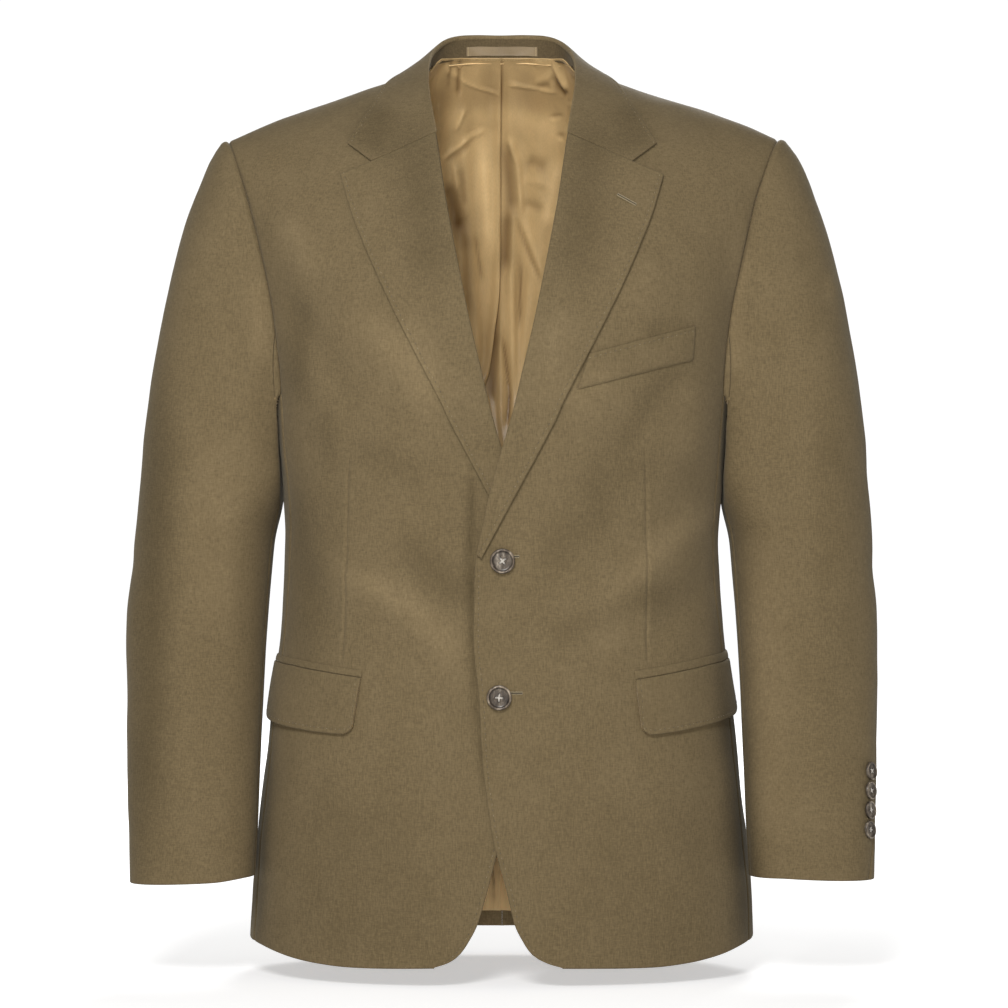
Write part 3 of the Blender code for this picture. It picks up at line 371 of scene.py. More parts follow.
# lining, seen from the front, ridges towards the viewer
LINING_CREASES = [
    # puckers and crisp lines below the neck
    (-49.5, 24, -49, 14, 1.6, -1.4, 0),
    (-39, 24, -39, 4, 1.8, -1.8, 0),
    (-58, 17.6, -41, 15.5, 1.3, 1, 0),
    (-41, 15.5, -4, 3.5, 1.3, 0.9, 0.5),
    (7, 11, 33, 7.5, 1.3, 0.9, 0),
    (33, 7.5, 48, 6.2, 1.3, 0.9, 0),
    (30, 22, 48, 21, 2.2, 1.2, 1),
    (48, 21, 62, 7, 2.2, 1.8, 0),
    (47, 14, 60, 3, 2.2, -1.7, 0),
    (30, 12, 48, 16, 1.8, 0.9, 0),
    (33, 8, 42, 10, 2.6, -1.2, 0),
    (-34, -9, -42, -26, 1.8, 1.4, 0),
    (-15, -27, -30, -33, 1.5, 0.9, 0),
    (-30, -33, -52, -50, 1.8, 1.5, 0),
    (-27, -38, -46, -52, 2.2, -0.9, 0),
    (44, -15, 55, -14, 1.6, -1.3, 0),
    (51, -31, 58, -32, 2, -1.5, 0),
    # folds beside the pleat
    (3, -45, 9, -96, 4.5, -2.8, 0),
    (4, -100, 3, -150, 4, -2.6, 0),
    (6.6, -36, 14, -56, 2.4, 1.8, 0),
    (14, -56, 17, -95, 2.6, 2.2, 0),
    (-16, -50, -12, -130, 6, 2.4, 0),
    # the full part on the wearer's left
    (22, -55, 38, -60, 5.5, -1.3, -2),
    (20, -70, 42, -74, 3.5, 0.8, -2),
    (20, -89, 36, -94, 4, -1, 0),
    (48, -58, 40, -110, 6, 2.4, 0),
    (14, -105, 34, -155, 1.6, -1.6, 1.5),
    (18, -104, 38, -152, 2.2, 1.3, 1.5),
    (16.5, -140, 15.5, -192, 1.8, -2.2, 0),
    (9, -150, 10, -240, 3.2, 2, 0),
    (24, -150, 18, -250, 3.4, 1.8, 0.5),
    (1.5, -210, 6.5, -256, 1.8, -2.4, 0),
    (6.5, -256, 5, -281, 1.8, -2, 0),
    # the wearer's right, down to the V
    (-43, -55, -40, -78, 2.4, 1.6, 0),
    (-36, -60, -33, -90, 3, -1.4, 0),
    (-47, -74, -36, -110, 7, -2.2, 0),
    (-32, -100, -26, -190, 4.5, -2.2, 1.5),
    (-23, -118, -18, -154, 1.8, -1.9, 0),
    (-27, -150, -20, -230, 4, 2.2, 0),
    (-1, -150, -1, -280, 2.2, 1.6, 0),
    # between the fronts at the hem
    (-15, -640, -12, -706, 3.6, 1.8, 1),
    (-6, -650, -8, -704, 3, -1.8, 0),
    (5, -636, 8, -706, 3.4, 1.7, -1),
    (14, -640, 15, -706, 3.2, -1.6, 1),
]
# z, x of the edge of the centre pleat, on the wearer's right half of the lining
PLEAT_EDGE = [
    (-726, -1),
    (-330, -2),
    (-272, -9),
    (-232, -14.5),
    (-202, -11.3),
    (-175, -9.6),
    (-142, -7.6),
    (-110, -6),
    (-85, -4.3),
    (-45, -2.6),
    (26, -1),
]
# the shade in the pleat, on its under layer, with the same columns as the creases
PLEAT_SHADE = [
    (-0.4, 26, -2.4, -60, 1.5, -0.34, 0),
    (-2.4, -60, -4.4, -112, 2, -0.38, 0),
    (-3.6, -112, -6.2, -205, 4.4, -0.36, 0),
    (-6.2, -200, -9.5, -262, 5, -0.34, 0),
]
# where the satin turns away from the light or towards it, as a share of light
SATIN_LIGHT = [
    (-56, 4, 56, 4, 15, -0.15, 0),
    (20, -8, 54, -8, 10, -0.10, 0),
    (-60, 10, -58, -40, 7, -0.15, 0),
    (-50, 22, -50, 10, 2.2, -0.16, 0),
    (-39, 22, -39, 4, 1.8, -0.18, 0),
    (49, 13, 62, 3, 4, -0.26, 0),
    (46, 21, 62, 8, 2.2, 0.16, 0),
    (-58, 17.6, -41, 15.5, 0.9, 0.13, 0),
    (-41, 15.5, -4, 3.5, 0.8, 0.10, 0.5),
    (7, 11, 33, 7.5, 0.8, 0.14, 0),
    (33, 7.5, 48, 6.2, 0.9, 0.16, 0),
    (-34, -9, -42, -26, 1.4, 0.14, 0),
    (-30, -33, -52, -50, 1.5, 0.12, 0),
    (-27, -38, -46, -52, 2, -0.08, 0),
    (-43, -55, -40, -78, 2.2, 0.13, 0),
    (-36, -62, -33, -90, 3.2, -0.12, 0),
    (-49, -72, -36, -112, 7, -0.27, 0),
    (-42, -104, -30, -128, 6, -0.15, 0),
    (-16, -50, -12, -130, 7, 0.10, 0),
    (-32, -120, -26, -190, 5, -0.10, 0),
    (4, -38, 9, -96, 6, -0.20, 0),
    (5, -96, 4, -145, 5, -0.24, 0),
    (8, -20, 54, -30, 9, 0.09, 0),
    (22, -54, 38, -60, 8, -0.13, -2),
    (20, -89, 36, -94, 4, -0.10, 0),
    (48, -58, 40, -110, 6, 0.11, 0),
    (14, -105, 34, -155, 2, -0.14, 1.5),
    (16.5, -140, 15.5, -192, 1.2, -0.20, 0),
    (-23, -118, -18, -154, 1.2, -0.16, 0),
    (1.5, -210, 6.5, -256, 1.4, -0.27, 0),
    (6.5, -256, 5, -281, 1.5, -0.30, 0),
    (-60, -150, 60, -300, 70, -0.05, 0),
    (0, -590, 0, -724, 60, 0.50, 0),
]
# Painted light and shade on the cloth, in soft zones: sheen of the pile where it lies one way or the other,
# and shade such as beside the sleeves. Same columns as the creases, seen from the front, with the height as
# the share of light that is added or taken away.
PAINTED_CLOTH_LIGHT = [
    # wearer's right front and lapel
    (-179, -119, -155, -162, 13, 0.11, 0),
    (-123, -199, -55, -277, 15, 0.14, -8),
    (-126, -410, -34, -482, 14, 0.17, -12),
    (-82, -204, -34, -268, 17, 0.08, 0),
    (-166, -180, -166, -266, 12, -0.12, 0),
    (-115, -303, -63, -335, 13, -0.08, 0),
    (-82, -385, -26, -429, 17, -0.12, 0),
    (-167, -340, -155, -470, 18, -0.13, 0),
    (-145, -275, -140, -330, 9, -0.07, 0),
    (-72, -40, -56, -170, 22, -0.14, 0),
    (-98, -24, -112, -62, 18, -0.15, 0),
    (-110, -590, -110, -720, 60, -0.07, 0),
    (-194, -530, -204, -720, 7, -0.26, 0),
    # wearer's left front and lapel
    (125, -154, 103, -192, 12, 0.09, 0),
    (90, -242, 53, -275, 13, 0.10, 0),
    (151, -249, 151, -313, 10, 0.08, 0),
    (172, -356, 96, -420, 12, 0.14, 3),
    (108, -430, 72, -468, 18, 0.10, 0),
    (47, -197, 31, -275, 14, 0.09, 0),
    (116, -216, 142, -202, 9, -0.06, 0),
    (146, -243, 94, -317, 10, -0.09, 6),
    (133, -317, 64, -341, 14, -0.08, 0),
    (87, -349, 35, -397, 17, -0.09, 0),
    (146, -420, 39, -459, 13, -0.11, 0),
    (72, -40, 56, -170, 22, -0.14, 0),
    (98, -24, 112, -62, 18, -0.15, 0),
    (110, -590, 110, -720, 60, -0.04, 0),
    (180, -440, 186, -560, 9, -0.20, 0),
    (192, -520, 204, -720, 12, -0.36, 0),
    # sleeves
    (-233, -300, -239, -445, 22, 0.10, 0),
    (-203, -164, -198, -236, 9, 0.12, 0),
    (-284, -250, -296, -640, 19, -0.18, 0),
    (193, -130, 193, -243, 8, 0.12, 0),
    (214, -397, 214, -630, 18, 0.16, 0),
    (276, -160, 270, -185, 7, 0.08, 0),
    (244, -145, 258, -150, 8, -0.07, 0),
    (268, -260, 268, -560, 14, -0.06, 0),
]
# the same behind
PAINTED_REAR_LIGHT = [
    (-150, -225, -60, -330, 15, -0.09, -5),
    (-160, -150, -132, -262, 15, 0.06, 4),
    (146, -232, 66, -322, 15, -0.08, 5),
    (158, -146, 136, -252, 16, 0.06, -4),
    (-120, -392, 96, -384, 14, -0.08, 6),
    (-150, -432, -40, -446, 13, 0.07, -4),
    (140, -436, 34, -452, 13, 0.06, 4),
    (0, -560, 0, -720, 120, -0.04, 0),
    (-284, -200, -296, -640, 17, -0.08, 0),
    (284, -200, 296, -640, 17, -0.08, 0),
]
PAINTED_LIGHT_STRENGTH = 1.3
# the shade beside the edge of the wearer's left front, on the front under it
UNDERLAP_SHADE = [
    (-24.5, -330, -25.8, -400, 4, -0.24, 0),
    (-25.8, -400, -21, -510, 4.2, -0.24, 0),
    (-21, -510, -13, -580, 3.6, -0.18, 0),
]
# z, x of each front's dart: wearer's left, wearer's right
DARTS = [
    (-520, 119, 131),
    (-479, 119, 130.4),
    (-429, 118, 127.6),
    (-313, 116.7, 125.4),
    (-262, 116, 124.8),
]
DART_ENDS = (-482.0, -300.0)
BUTTONHOLE_X = {-398.0: (-6.0, 13.6), -508.0: (-8.0, 16.2)}     # z of a button: ends of its buttonhole
BUTTONHOLE_UP = 3.6     # which lies this much higher
SMALLEST_CUT = 0.0102   # metres; a narrow strip's cut takes in what its seams hold
EDGE_LIFT = 0.7         # the outer edge of a lapel stands off a little more
FALL_INSIDE = 8.6       # the collar runs this far down inside, to its seam with the stand
FALL_LIGHT = 0.23       # and is painted this much lighter there
FALL_STEPS = [0.12, 0.25, 0.37, 0.5, 0.62, 0.75, 0.87, 1.0, 1.25, 1.5, 1.75, 1.9, 1.96, 2.0]
LAPEL_HOLE = ((93.4, -101.4), (107.9, -109.3))
HEM_LIGHT = 0.42        # painted light on the inside of the back, which lies in shade: this much lighter
STITCH_IN = 3.7         # pick stitches lie this far inside an edge
STITCH_PITCH = 4.4


# ---- arrays of points ---------------------------------------------------------------------------
def vec(x, y, z):
    return np.stack(np.broadcast_arrays(x, y, z), -1).astype(float)


def unit(v):
    return v / np.maximum(np.linalg.norm(v, axis=-1, keepdims=True), 1e-9)


def mirror(points, side):
    """Points or directions of the wearer's left, for either side."""
    return points * np.array([side, 1.0, 1.0])


def mix(a, b, f):
    return a + (b - a) * f


def blend(a, b, f):
    """mix for points, with f one number a point."""
    return a + (b - a) * np.asarray(f)[..., None]


def ease(f):
    f = np.clip(f, 0.0, 1.0)
    return f * f * (3 - 2 * f)


def fade(value, start, wide):
    """From 0 at the start to 1 a width further on."""
    return ease((value - start) / wide)


def hill(d, wide):
    return np.exp(-(d / wide) ** 2)


def bezier(p, t):
    s = 1 - t
    k = (s ** 3, 3 * s * s * t, 3 * s * t * t, t ** 3)
    return sum(k[i][..., None] * p[i] for i in range(4))


def along_line(want, at, points):
    """Points of a line at other places than those at which it is known."""
    return np.stack([np.interp(want, at, points[:, k]) for k in range(3)], -1)


def read(rows, key):
    """Smooth reading of a table, by its first column, as a list of the other columns."""
    table = np.array(sorted(rows), float)
    at = table[:, 0]
    key = np.clip(np.asarray(key, float), at[0], at[-1])
    i = np.clip(np.searchsorted(at, key) - 1, 0, len(at) - 2)
    before, after = np.maximum(i - 1, 0), np.minimum(i + 2, len(at) - 1)
    span = at[i + 1] - at[i]
    f = (key - at[i]) / span
    out = []
    for c in table.T[1:]:
        slope_a = (c[i + 1] - c[before]) / (at[i + 1] - at[before])
        slope_b = (c[after] - c[i]) / (at[after] - at[i])
        h1 = 2 * f ** 3 - 3 * f ** 2 + 1
        h2 = f ** 3 - 2 * f ** 2 + f
        h3 = 3 * f ** 2 - 2 * f ** 3
        h4 = f ** 3 - f ** 2
        out.append(h1 * c[i] + h2 * span * slope_a + h3 * c[i + 1] + h4 * span * slope_b)
    return out


# ---- the body form ------------------------------------------------------------------------------
def plan_depth(x, half, depth, power):
    share = np.minimum(np.abs(x) / half, 1.0)
    return depth * (1 - share ** power) ** (1 / power)


def seam_x(z, back):
    """Half-width of the front panel, or of the back panel, at a level."""
    half, front, rear, n_front, n_back = read(BODY_RINGS, z)
    y_front, y_back = read(SIDE_SEAMS, z)
    if back:
        return half * (1 - (y_back / rear) ** n_back) ** (1 / n_back)
    return half * (1 - (y_front / front) ** n_front) ** (1 / n_front)


def ring_point(z, x, back):
    half, front, rear, n_front, n_back = read(BODY_RINGS, z)
    if back:
        return vec(x, plan_depth(x, half, rear, n_back), z)
    return vec(x, -plan_depth(x, half, front, n_front), z)


def shoulder_z(x):
    return read(SHOULDER_LINE, x)[0]


def neck_seam(x):
    f = np.sqrt(np.maximum(1 - (x / NECK_X) ** 2, 0.0))
    return vec(x, mix(15.0, NECK_BACK[0], f), mix(shoulder_z(NECK_X), NECK_BACK[1], f ** 0.8))


def ridge(x):
    f = (np.abs(x) - NECK_X) / (SHOULDER_X - NECK_X)
    return vec(x, mix(15.0, 3.0, f), shoulder_z(np.abs(x)))


def hem_z(w, back):
    if back:
        return mix(BACK_HEM_RISE, HEM_RISE, np.maximum(w, 0.0) ** 2)
    return read(HEM_FRONT, w)[0]


def panel(w, level, back):
    """Points of the form: w runs from the centre to the seam, level 0 to 1 to the arm, 2 at the top."""
    w, level = np.broadcast_arrays(np.asarray(w, float), np.asarray(level, float))
    z = mix(Z_HEM, Z_ARM, np.minimum(level, 1.0))
    low = ring_point(z, w * seam_x(z, back), back)
    low[..., 2] += hem_z(w, back) * (1 - ease(level * 5.0))
    t = np.maximum(level - 1.0, 0.0)
    start = ring_point(Z_ARM, w * seam_x(Z_ARM, back), back)
    side = np.maximum(w, 0.0)
    x_end = w * SHOULDER_X
    y0 = start[..., 1]
    lower, (high_x, y_centre, y_side) = BACK_GUIDES if back else FRONT_GUIDES
    low_x, out_centre, out_side, z_centre, z_side = lower
    if back:
        end = np.where((np.abs(x_end) >= NECK_X)[..., None], ridge(x_end), neck_seam(x_end))
        neck = ease(1 - np.abs(x_end) / (NECK_REACH * NECK_X))
        past = np.abs(x_end) - NECK_X
        across = NECK_X + (past + np.hypot(past, NECK_EASE)) / 2
        p1 = vec(w * low_x, y0 + mix(out_centre, out_side, side), mix(z_centre, z_side, side))
        p2_z = shoulder_z(across) - 1.5 - NECK_SINK[1] * neck
        p2 = vec(w * high_x, mix(y_centre, y_side, side ** 3) - NECK_SINK[0] * neck, p2_z)
    else:
        end = ridge(x_end)
        p1 = vec(w * low_x, y0 - mix(out_centre, out_side, side), mix(z_centre, z_side, side ** 2))
        p2 = vec(w * high_x, mix(y_centre, y_side, side ** 3), end[..., 2] - 4.0)
    return np.where((level <= 1.0)[..., None], low, bezier((start, p1, p2, end), t))


def reach(level, back):
    return panel(1.0, level, back)[..., 0]


def grid_normals(points, flip=False):
    """Normals of a grid whose columns run to the right and rows run up, seen from outside."""
    across = np.gradient(points, axis=1)
    up = np.gradient(points, axis=0)
    normal = unit(np.cross(across, up))
    return -normal if flip else normal


def find(x, z, back=False):
    """The w and the level at which the form has these x and z."""
    x, z = np.broadcast_arrays(np.asarray(x, float), np.asarray(z, float))
    low, high = np.full(x.shape, 1.0), np.full(x.shape, 2.0)
    w = x / 205.0
    for _ in range(22):
        level = (low + high) / 2
        w = x / reach(level, back)
        below = panel(w, level, back)[..., 2] < z
        low = np.where(below, level, low)
        high = np.where(below, high, level)
    flat = z <= Z_ARM
    w = np.where(flat, x / seam_x(np.minimum(z, Z_ARM), back), w)
    level = np.where(flat, (z - Z_HEM) / (Z_ARM - Z_HEM), level)
    return w, level


def form_frame(w, level, back):
    """Points and outward normals of the form at any w and level."""
    e = 0.004
    across = panel(w + e, level, back) - panel(w - e, level, back)
    up = panel(w, np.minimum(level + e, 2.0), back) - panel(w, np.maximum(level - e, 0.0), back)
    normal = unit(np.cross(across, up))
    return panel(w, level, back), -normal if back else normal


def under(x, z):
    """How deep the wearer's right front lies under the left one."""
    return read(UNDER_DEPTH, z)[0] * (1 - fade(x, 14.0, 70.0))


def front_skin(x, z, side):
    """Points and normals of a front at x and z."""
    w, level = find(x, z)
    point, normal = form_frame(w, np.minimum(level, 1.985), False)
    if side < 0:
        point = point - normal * under(point[..., 0], point[..., 2])[..., None]
    return point, normal


def on_front(x, z, out, side):
    point, normal = front_skin(x, z, side)
    return point + normal * np.asarray(out)[..., None]


def on_back(x, z, out):
    w, level = find(x, z, True)
    point, normal = form_frame(w, np.minimum(level, 1.985), True)
    return point + normal * out


def edge_x(side, z):
    left, right = read(FRONT_EDGES, z)
    return left if side > 0 else right


def edge_w(side, level):
    """Where the roll line or the front edge cuts a row of the form."""
    w = np.full(np.shape(level), 0.2)
    for _ in range(12):
        w = edge_x(side, panel(w, level, False)[..., 2]) / reach(level, False)
    return w


def settle(p):
    """The jacket hangs a little unevenly, as in the CAD model."""
    x, z = p[..., 0], p[..., 2]
    aside = LEAN * fade(np.abs(x), 200.0, 60.0) * fade(z, -440.0, 110.0)
    lifted = LEFT_UP * fade(x, 130.0, 80.0) * fade(z, -170.0, 110.0)
    cuff = fade(np.abs(x), 206.0, 30.0) * fade(-z, 560.0, 90.0)
    lifted = lifted + cuff * np.where(x > 0, CUFF_EVEN[0], -CUFF_EVEN[1])
    return p + vec(aside, 0.0, lifted)


# ---- side panel and sleeve ----------------------------------------------------------------------
def side_panel(z, f):
    """Points of the side panel: f runs from the front seam (0) to the back seam (1)."""
    y_front, y_back = read(SIDE_SEAMS, z)
    y = mix(-y_front, y_back, f)
    rise = mix(HEM_FRONT[-1][1], HEM_RISE, ease(f / 0.45))
    hem = 1 - ease((z - Z_HEM) / (Z_ARM - Z_HEM) * 5.0)
    dip = ARM_DIP * np.sin(math.pi * np.clip(f, 0.0, 1.0)) * fade(z, -315.0, 53.0)
    return vec(body_side(y, z), y, z + rise * hem - dip)


def body_side(y, z):
    half, front, rear, n_front, n_back = read(BODY_RINGS, z)
    depth, power = np.where(y < 0, front, rear), np.where(y < 0, n_front, n_back)
    return half * (1 - np.minimum(np.abs(y) / depth, 1.0) ** power) ** (1 / power)


def armhole(angle):
    """Points of the armhole seam: 0 under the arm, 90 in front, 180 at the shoulder point."""
    angle = np.mod(angle, 360.0)
    cut = 180.0 * UNDERARM
    front = 1.0 + np.clip((angle - cut) / (180.0 - cut), 0.0, 1.0)
    rear = 1.0 + np.clip((360.0 - cut - angle) / (180.0 - cut), 0.0, 1.0)
    f = np.where(angle < 180.0, 0.5 * (1 - angle / cut), 0.5 + 0.5 * (360.0 - angle) / cut)
    low = side_panel(np.full(np.shape(angle), Z_ARM), np.clip(f, 0.0, 1.0))
    high = np.where((angle <= 180.0)[..., None], panel(1.0, front, False), panel(1.0, rear, True))
    under_arm = (angle <= cut) | (angle >= 360.0 - cut)
    return np.where(under_arm[..., None], low, high)


def signed(value, power):
    return np.sign(value) * np.abs(value) ** power


def sleeve_ring(angle, z):
    """0 is the side next to the body, 90 the front, 180 the outside."""
    x0, y0, half, depth = read(SLEEVE_RINGS, z)
    a = np.radians(angle)
    cos, sin = np.cos(a), np.sin(a)
    hug = ease((z - HUG_END) / HUG_FADE) * ease((cos + 0.2) / 0.5)
    power = 2.0 / (2.0 + HUG_POWER * hug)
    x = x0 - (half + HUG * hug) * signed(cos, power)
    y = y0 - depth * signed(sin, power)
    clear = body_side(y, z) + SLEEVE_CLEAR
    soft = 3.0
    push = clear - x
    pushed = np.where(push < soft, x + (push + soft) ** 2 / (4 * soft), clear)
    return vec(np.where(push > -soft, pushed, x), y, z)


def sleeve(angle, level):
    """Points of a sleeve. Level 0 is the armhole, 1 the first ring, 2 the cuff."""
    angle, level = np.broadcast_arrays(np.asarray(angle, float), np.asarray(level, float))
    z = mix(SLEEVE_TOP_Z, SLEEVE_RINGS[-1][0], np.maximum(level - 1.0, 0.0))
    ring = sleeve_ring(angle, z)
    inside = (1 + np.cos(np.radians(angle))) / 2
    ring[..., 2] += CUFF_TILT * inside * ease((level - 1.5) * 2.0)
    start, end = armhole(angle), sleeve_ring(angle, np.full(angle.shape, SLEEVE_TOP_Z))
    length = np.linalg.norm(end - start, axis=-1)
    first = start + leaving(angle) * mix(*LEAVING, inside ** 1.5)[..., None]
    second = end + vec(-HEAD_BOW * (1 - inside), 0.0, length * mix(0.5, 0.3, inside))
    head = bezier((start, first, second, end), np.minimum(level, 1.0))
    y, z = head[..., 1], head[..., 2]
    clear = body_side(y, np.minimum(z, Z_ARM)) + mix(ARM_GAP, SLEEVE_CLEAR, ease(level * 2.5))
    above = (1 - ease((z - Z_ARM) / 26.0)) * ease(level / 0.12)
    near = np.where(z <= Z_ARM, 1.0, above) * (inside > 0.5) * (level > 0.0)
    head[..., 0] = mix(head[..., 0], np.maximum(head[..., 0], clear), near)
    head[..., 0] += ARM_GAP * (1 - ease(level / 0.09))
    return np.where((level >= 1.0)[..., None], ring, head)


def leaving(angle):
    """The way in which a sleeve leaves the armhole seam."""
    inside = (1 + np.cos(np.radians(angle))) / 2
    return unit(vec(1 - 0.25 * inside, -0.32 * np.sin(np.radians(angle)), 0.14 - 0.9 * inside))


def armhole_outward(angle):
    """Thickness direction at the armhole seam: halfway between the body's side and the sleeve's."""
    angle = np.mod(angle, 360.0)
    cut = 180.0 * UNDERARM
    level = 1.0 + np.clip((np.minimum(angle, 360.0 - angle) - cut) / (180.0 - cut), 0.02, 0.98)
    body = np.where((angle <= 180.0)[..., None], form_frame(1.0, level, False)[1],
                    form_frame(1.0, level, True)[1])
    around = armhole(angle + 0.8) - armhole(angle - 0.8)
    under_arm = 1 - ease((np.minimum(angle, 360.0 - angle) - cut) / 12.0)
    body = unit(blend(body, np.array([1.0, 0.0, 0.0]), under_arm))
    own = unit(np.cross(around, -leaving(angle)))
    over = fade(-np.cos(np.radians(angle)), 0.55, 0.35)
    return unit(blend(unit(body + own), unit(np.array([0.15, 0.0, 1.0])), over))


# ---- creases and edges --------------------------------------------------------------------------
def creases(a, b, rows):
    """Sum of the soft ridges and troughs of a table at the places a, b."""
    total = np.zeros(np.shape(a))
    for a0, b0, a1, b1, wide, height, bow in rows:
        length = math.hypot(a1 - a0, b1 - b0)
        along = ((a - a0) * (a1 - a0) + (b - b0) * (b1 - b0)) / length ** 2
        across = ((a - a0) * (b1 - b0) - (b - b0) * (a1 - a0)) / length
        across = across - bow * 4 * along * (1 - along)
        ends = hill(np.maximum(np.abs(along - 0.5) - 0.3, 0.0), 0.22)
        total = total + height * ends * hill(across, wide)
    return total


# wavelength, amplitude, and the direction in which each faint wave of the cloth runs
WAVES = [
    (61.0, 0.22, (0.8, 0.3, 0.5)),
    (47.0, 0.17, (-0.6, 0.5, 0.6)),
    (83.0, 0.26, (0.3, -0.7, 0.9)),
    (33.0, 0.09, (0.9, 0.6, -0.2)),
    (27.0, 0.07, (-0.5, 0.8, 0.8)),
    (19.0, 0.035, (0.7, -0.6, 0.6)),
]


def waves(p):
    total = 0.0
    for i, (length, height, way) in enumerate(WAVES):
        way = unit(np.array(way))
        phase = 1.7 * i + 1.3 * np.sin(p @ way[::-1] / (1.9 * length))
        total = total + height * np.sin(2 * math.pi * (p @ way) / length + phase)
    return total


def relief(p, n, side, amount=1.0):
    """How far the cloth at p stands proud of the form. p and n are given for the side x > 0."""
    x, y, z = p[..., 0] * side, p[..., 1], p[..., 2]
    front = fade(-n[..., 1], -0.05, 0.5)
    rear = fade(n[..., 1], -0.05, 0.5)
    outer = fade(n[..., 0], 0.35, 0.4) * fade(np.abs(x), 215.0, 30.0)
    total = creases(x, z, FRONT_CREASES) * front + creases(x, z, REAR_CREASES) * rear
    total = total + creases(y, z, SIDE_CREASES[side]) * outer
    return amount * (total + waves(mirror(p, side)))


def distances(points):
    """Distance of each grid point from the first and last column and from the first and last row."""
    across = np.linalg.norm(np.diff(points, axis=1), axis=2)
    up = np.linalg.norm(np.diff(points, axis=0), axis=2)
    a = np.concatenate([np.zeros((len(points), 1)), np.cumsum(across, 1)], 1)
    u = np.concatenate([np.zeros((1, points.shape[1])), np.cumsum(up, 0)], 0)
    return a, a[:, -1:] - a, u, u[-1:] - u


EDGE_STEPS = [0.0, 0.12, 0.4, 0.8, 1.3, 1.9, 2.7, 3.6, 4.6, 5.8, 7.4]


def spread(length, pitch, first=True, last=True):
    """Places from 0 to 1 along a length, close together near its ends."""
    near = np.array(EDGE_STEPS)
    near = near[near < 0.4 * length]
    lead = near if first else near[:1]
    tail = length - near[::-1] if last else np.array([length])
    count = max(int(round((tail[0] - lead[-1]) / pitch)), 2)
    middle = np.linspace(lead[-1], tail[0], count + 1)[1:-1]
    return np.concatenate([lead, middle, tail]) / length


def rounding(d, half, wide):
    """How much a wall's face has turned in at distance d from its edge."""
    f = np.clip(1 - d / wide, 0.0, 1.0)
    return half * (1 - np.sqrt(1 - f * f))


# ---- materials ----------------------------------------------------------------------------------
class Nodes:
    """Short way to write a material's nodes."""

    def __init__(self, name, colour, roughness):
        self.mat = bpy.data.materials.new(name)
        self.mat.use_nodes = True
        self.tree = self.mat.node_tree
        self.shader = self.tree.nodes["Principled BSDF"]
        self.shader.inputs["Base Color"].default_value = (*colour, 1.0)
        self.shader.inputs["Roughness"].default_value = roughness
        self.place = self.add("ShaderNodeTexCoord").outputs["Object"]

    def add(self, kind, **values):
        node = self.tree.nodes.new(kind)
        for key, value in values.items():
            setattr(node, key, value)
        return node

    def link(self, a, b):
        self.tree.links.new(a, b)

    def scaled(self, scale):
        node = self.add("ShaderNodeMapping")
        node.inputs["Scale"].default_value = scale
        self.link(self.place, node.inputs["Vector"])
        return node.outputs["Vector"]

    def noise(self, scale, detail=2.0, stretch=(1.0, 1.0, 1.0), rough=0.5):
        node = self.add("ShaderNodeTexNoise")
        node.inputs["Scale"].default_value = scale
        node.inputs["Detail"].default_value = detail
        node.inputs["Roughness"].default_value = rough
        self.link(self.scaled(stretch), node.inputs["Vector"])
        return node.outputs["Fac"]

    def math(self, kind, a, b):
        node = self.add("ShaderNodeMath", operation=kind)
        for socket, value in zip(node.inputs, (a, b)):
            if isinstance(value, (int, float)):
                socket.default_value = value
            else:
                self.link(value, socket)
        return node.outputs[0]

    def ramp(self, value, stops):
        node = self.add("ShaderNodeValToRGB")
        points = node.color_ramp.elements
        while len(points) < len(stops):
            points.new(0.5)
        for point, (at, colour) in zip(points, stops):
            point.position = at
            point.color = (*colour, 1.0)
        self.link(value, node.inputs["Fac"])
        return node.outputs["Color"]

    def by_painted_light(self, darkest, lightest):
        """Factor for a colour from the mesh's own painted light and shade values, 1 where they are 0.5."""
        painted_light = self.add("ShaderNodeAttribute", attribute_name="painted_light").outputs["Fac"]
        return self.ramp(painted_light, [(0.0, darkest), (0.5, (1.0, 1.0, 1.0)), (1.0, lightest)])

    def tint(self, a, b):
        """One colour multiplied by another."""
        node = self.add("ShaderNodeMix", data_type="RGBA", blend_type="MULTIPLY")
        node.inputs[0].default_value = 1.0
        self.link(a, node.inputs[6])
        self.link(b, node.inputs[7])
        return node.outputs[2]

    def bump(self, height, strength, distance, before=None):
        node = self.add("ShaderNodeBump")
        node.inputs["Strength"].default_value = strength
        node.inputs["Distance"].default_value = distance
        self.link(height, node.inputs["Height"])
        if before is not None:
            self.link(before, node.inputs["Normal"])
        return node.outputs["Normal"]

    def finish(self, colour=None, normal=None, roughness=None, **constants):
        if colour is not None:
            self.link(colour, self.shader.inputs["Base Color"])
        if normal is not None:
            self.link(normal, self.shader.inputs["Normal"])
        if roughness is not None:
            self.link(roughness, self.shader.inputs["Roughness"])
        for key, value in constants.items():
            self.shader.inputs[key.replace("_", " ")].default_value = value
        return self.mat


def rgb(red, green, blue):
    """Linear colour from an sRGB one out of 255."""
    out = []
    for c in (red, green, blue):
        c = c / 255.0
        out.append(c / 12.92 if c < 0.04045 else ((c + 0.055) / 1.055) ** 2.4)
    return tuple(out)


def times(colour, factor):
    return tuple(c * factor for c in colour)


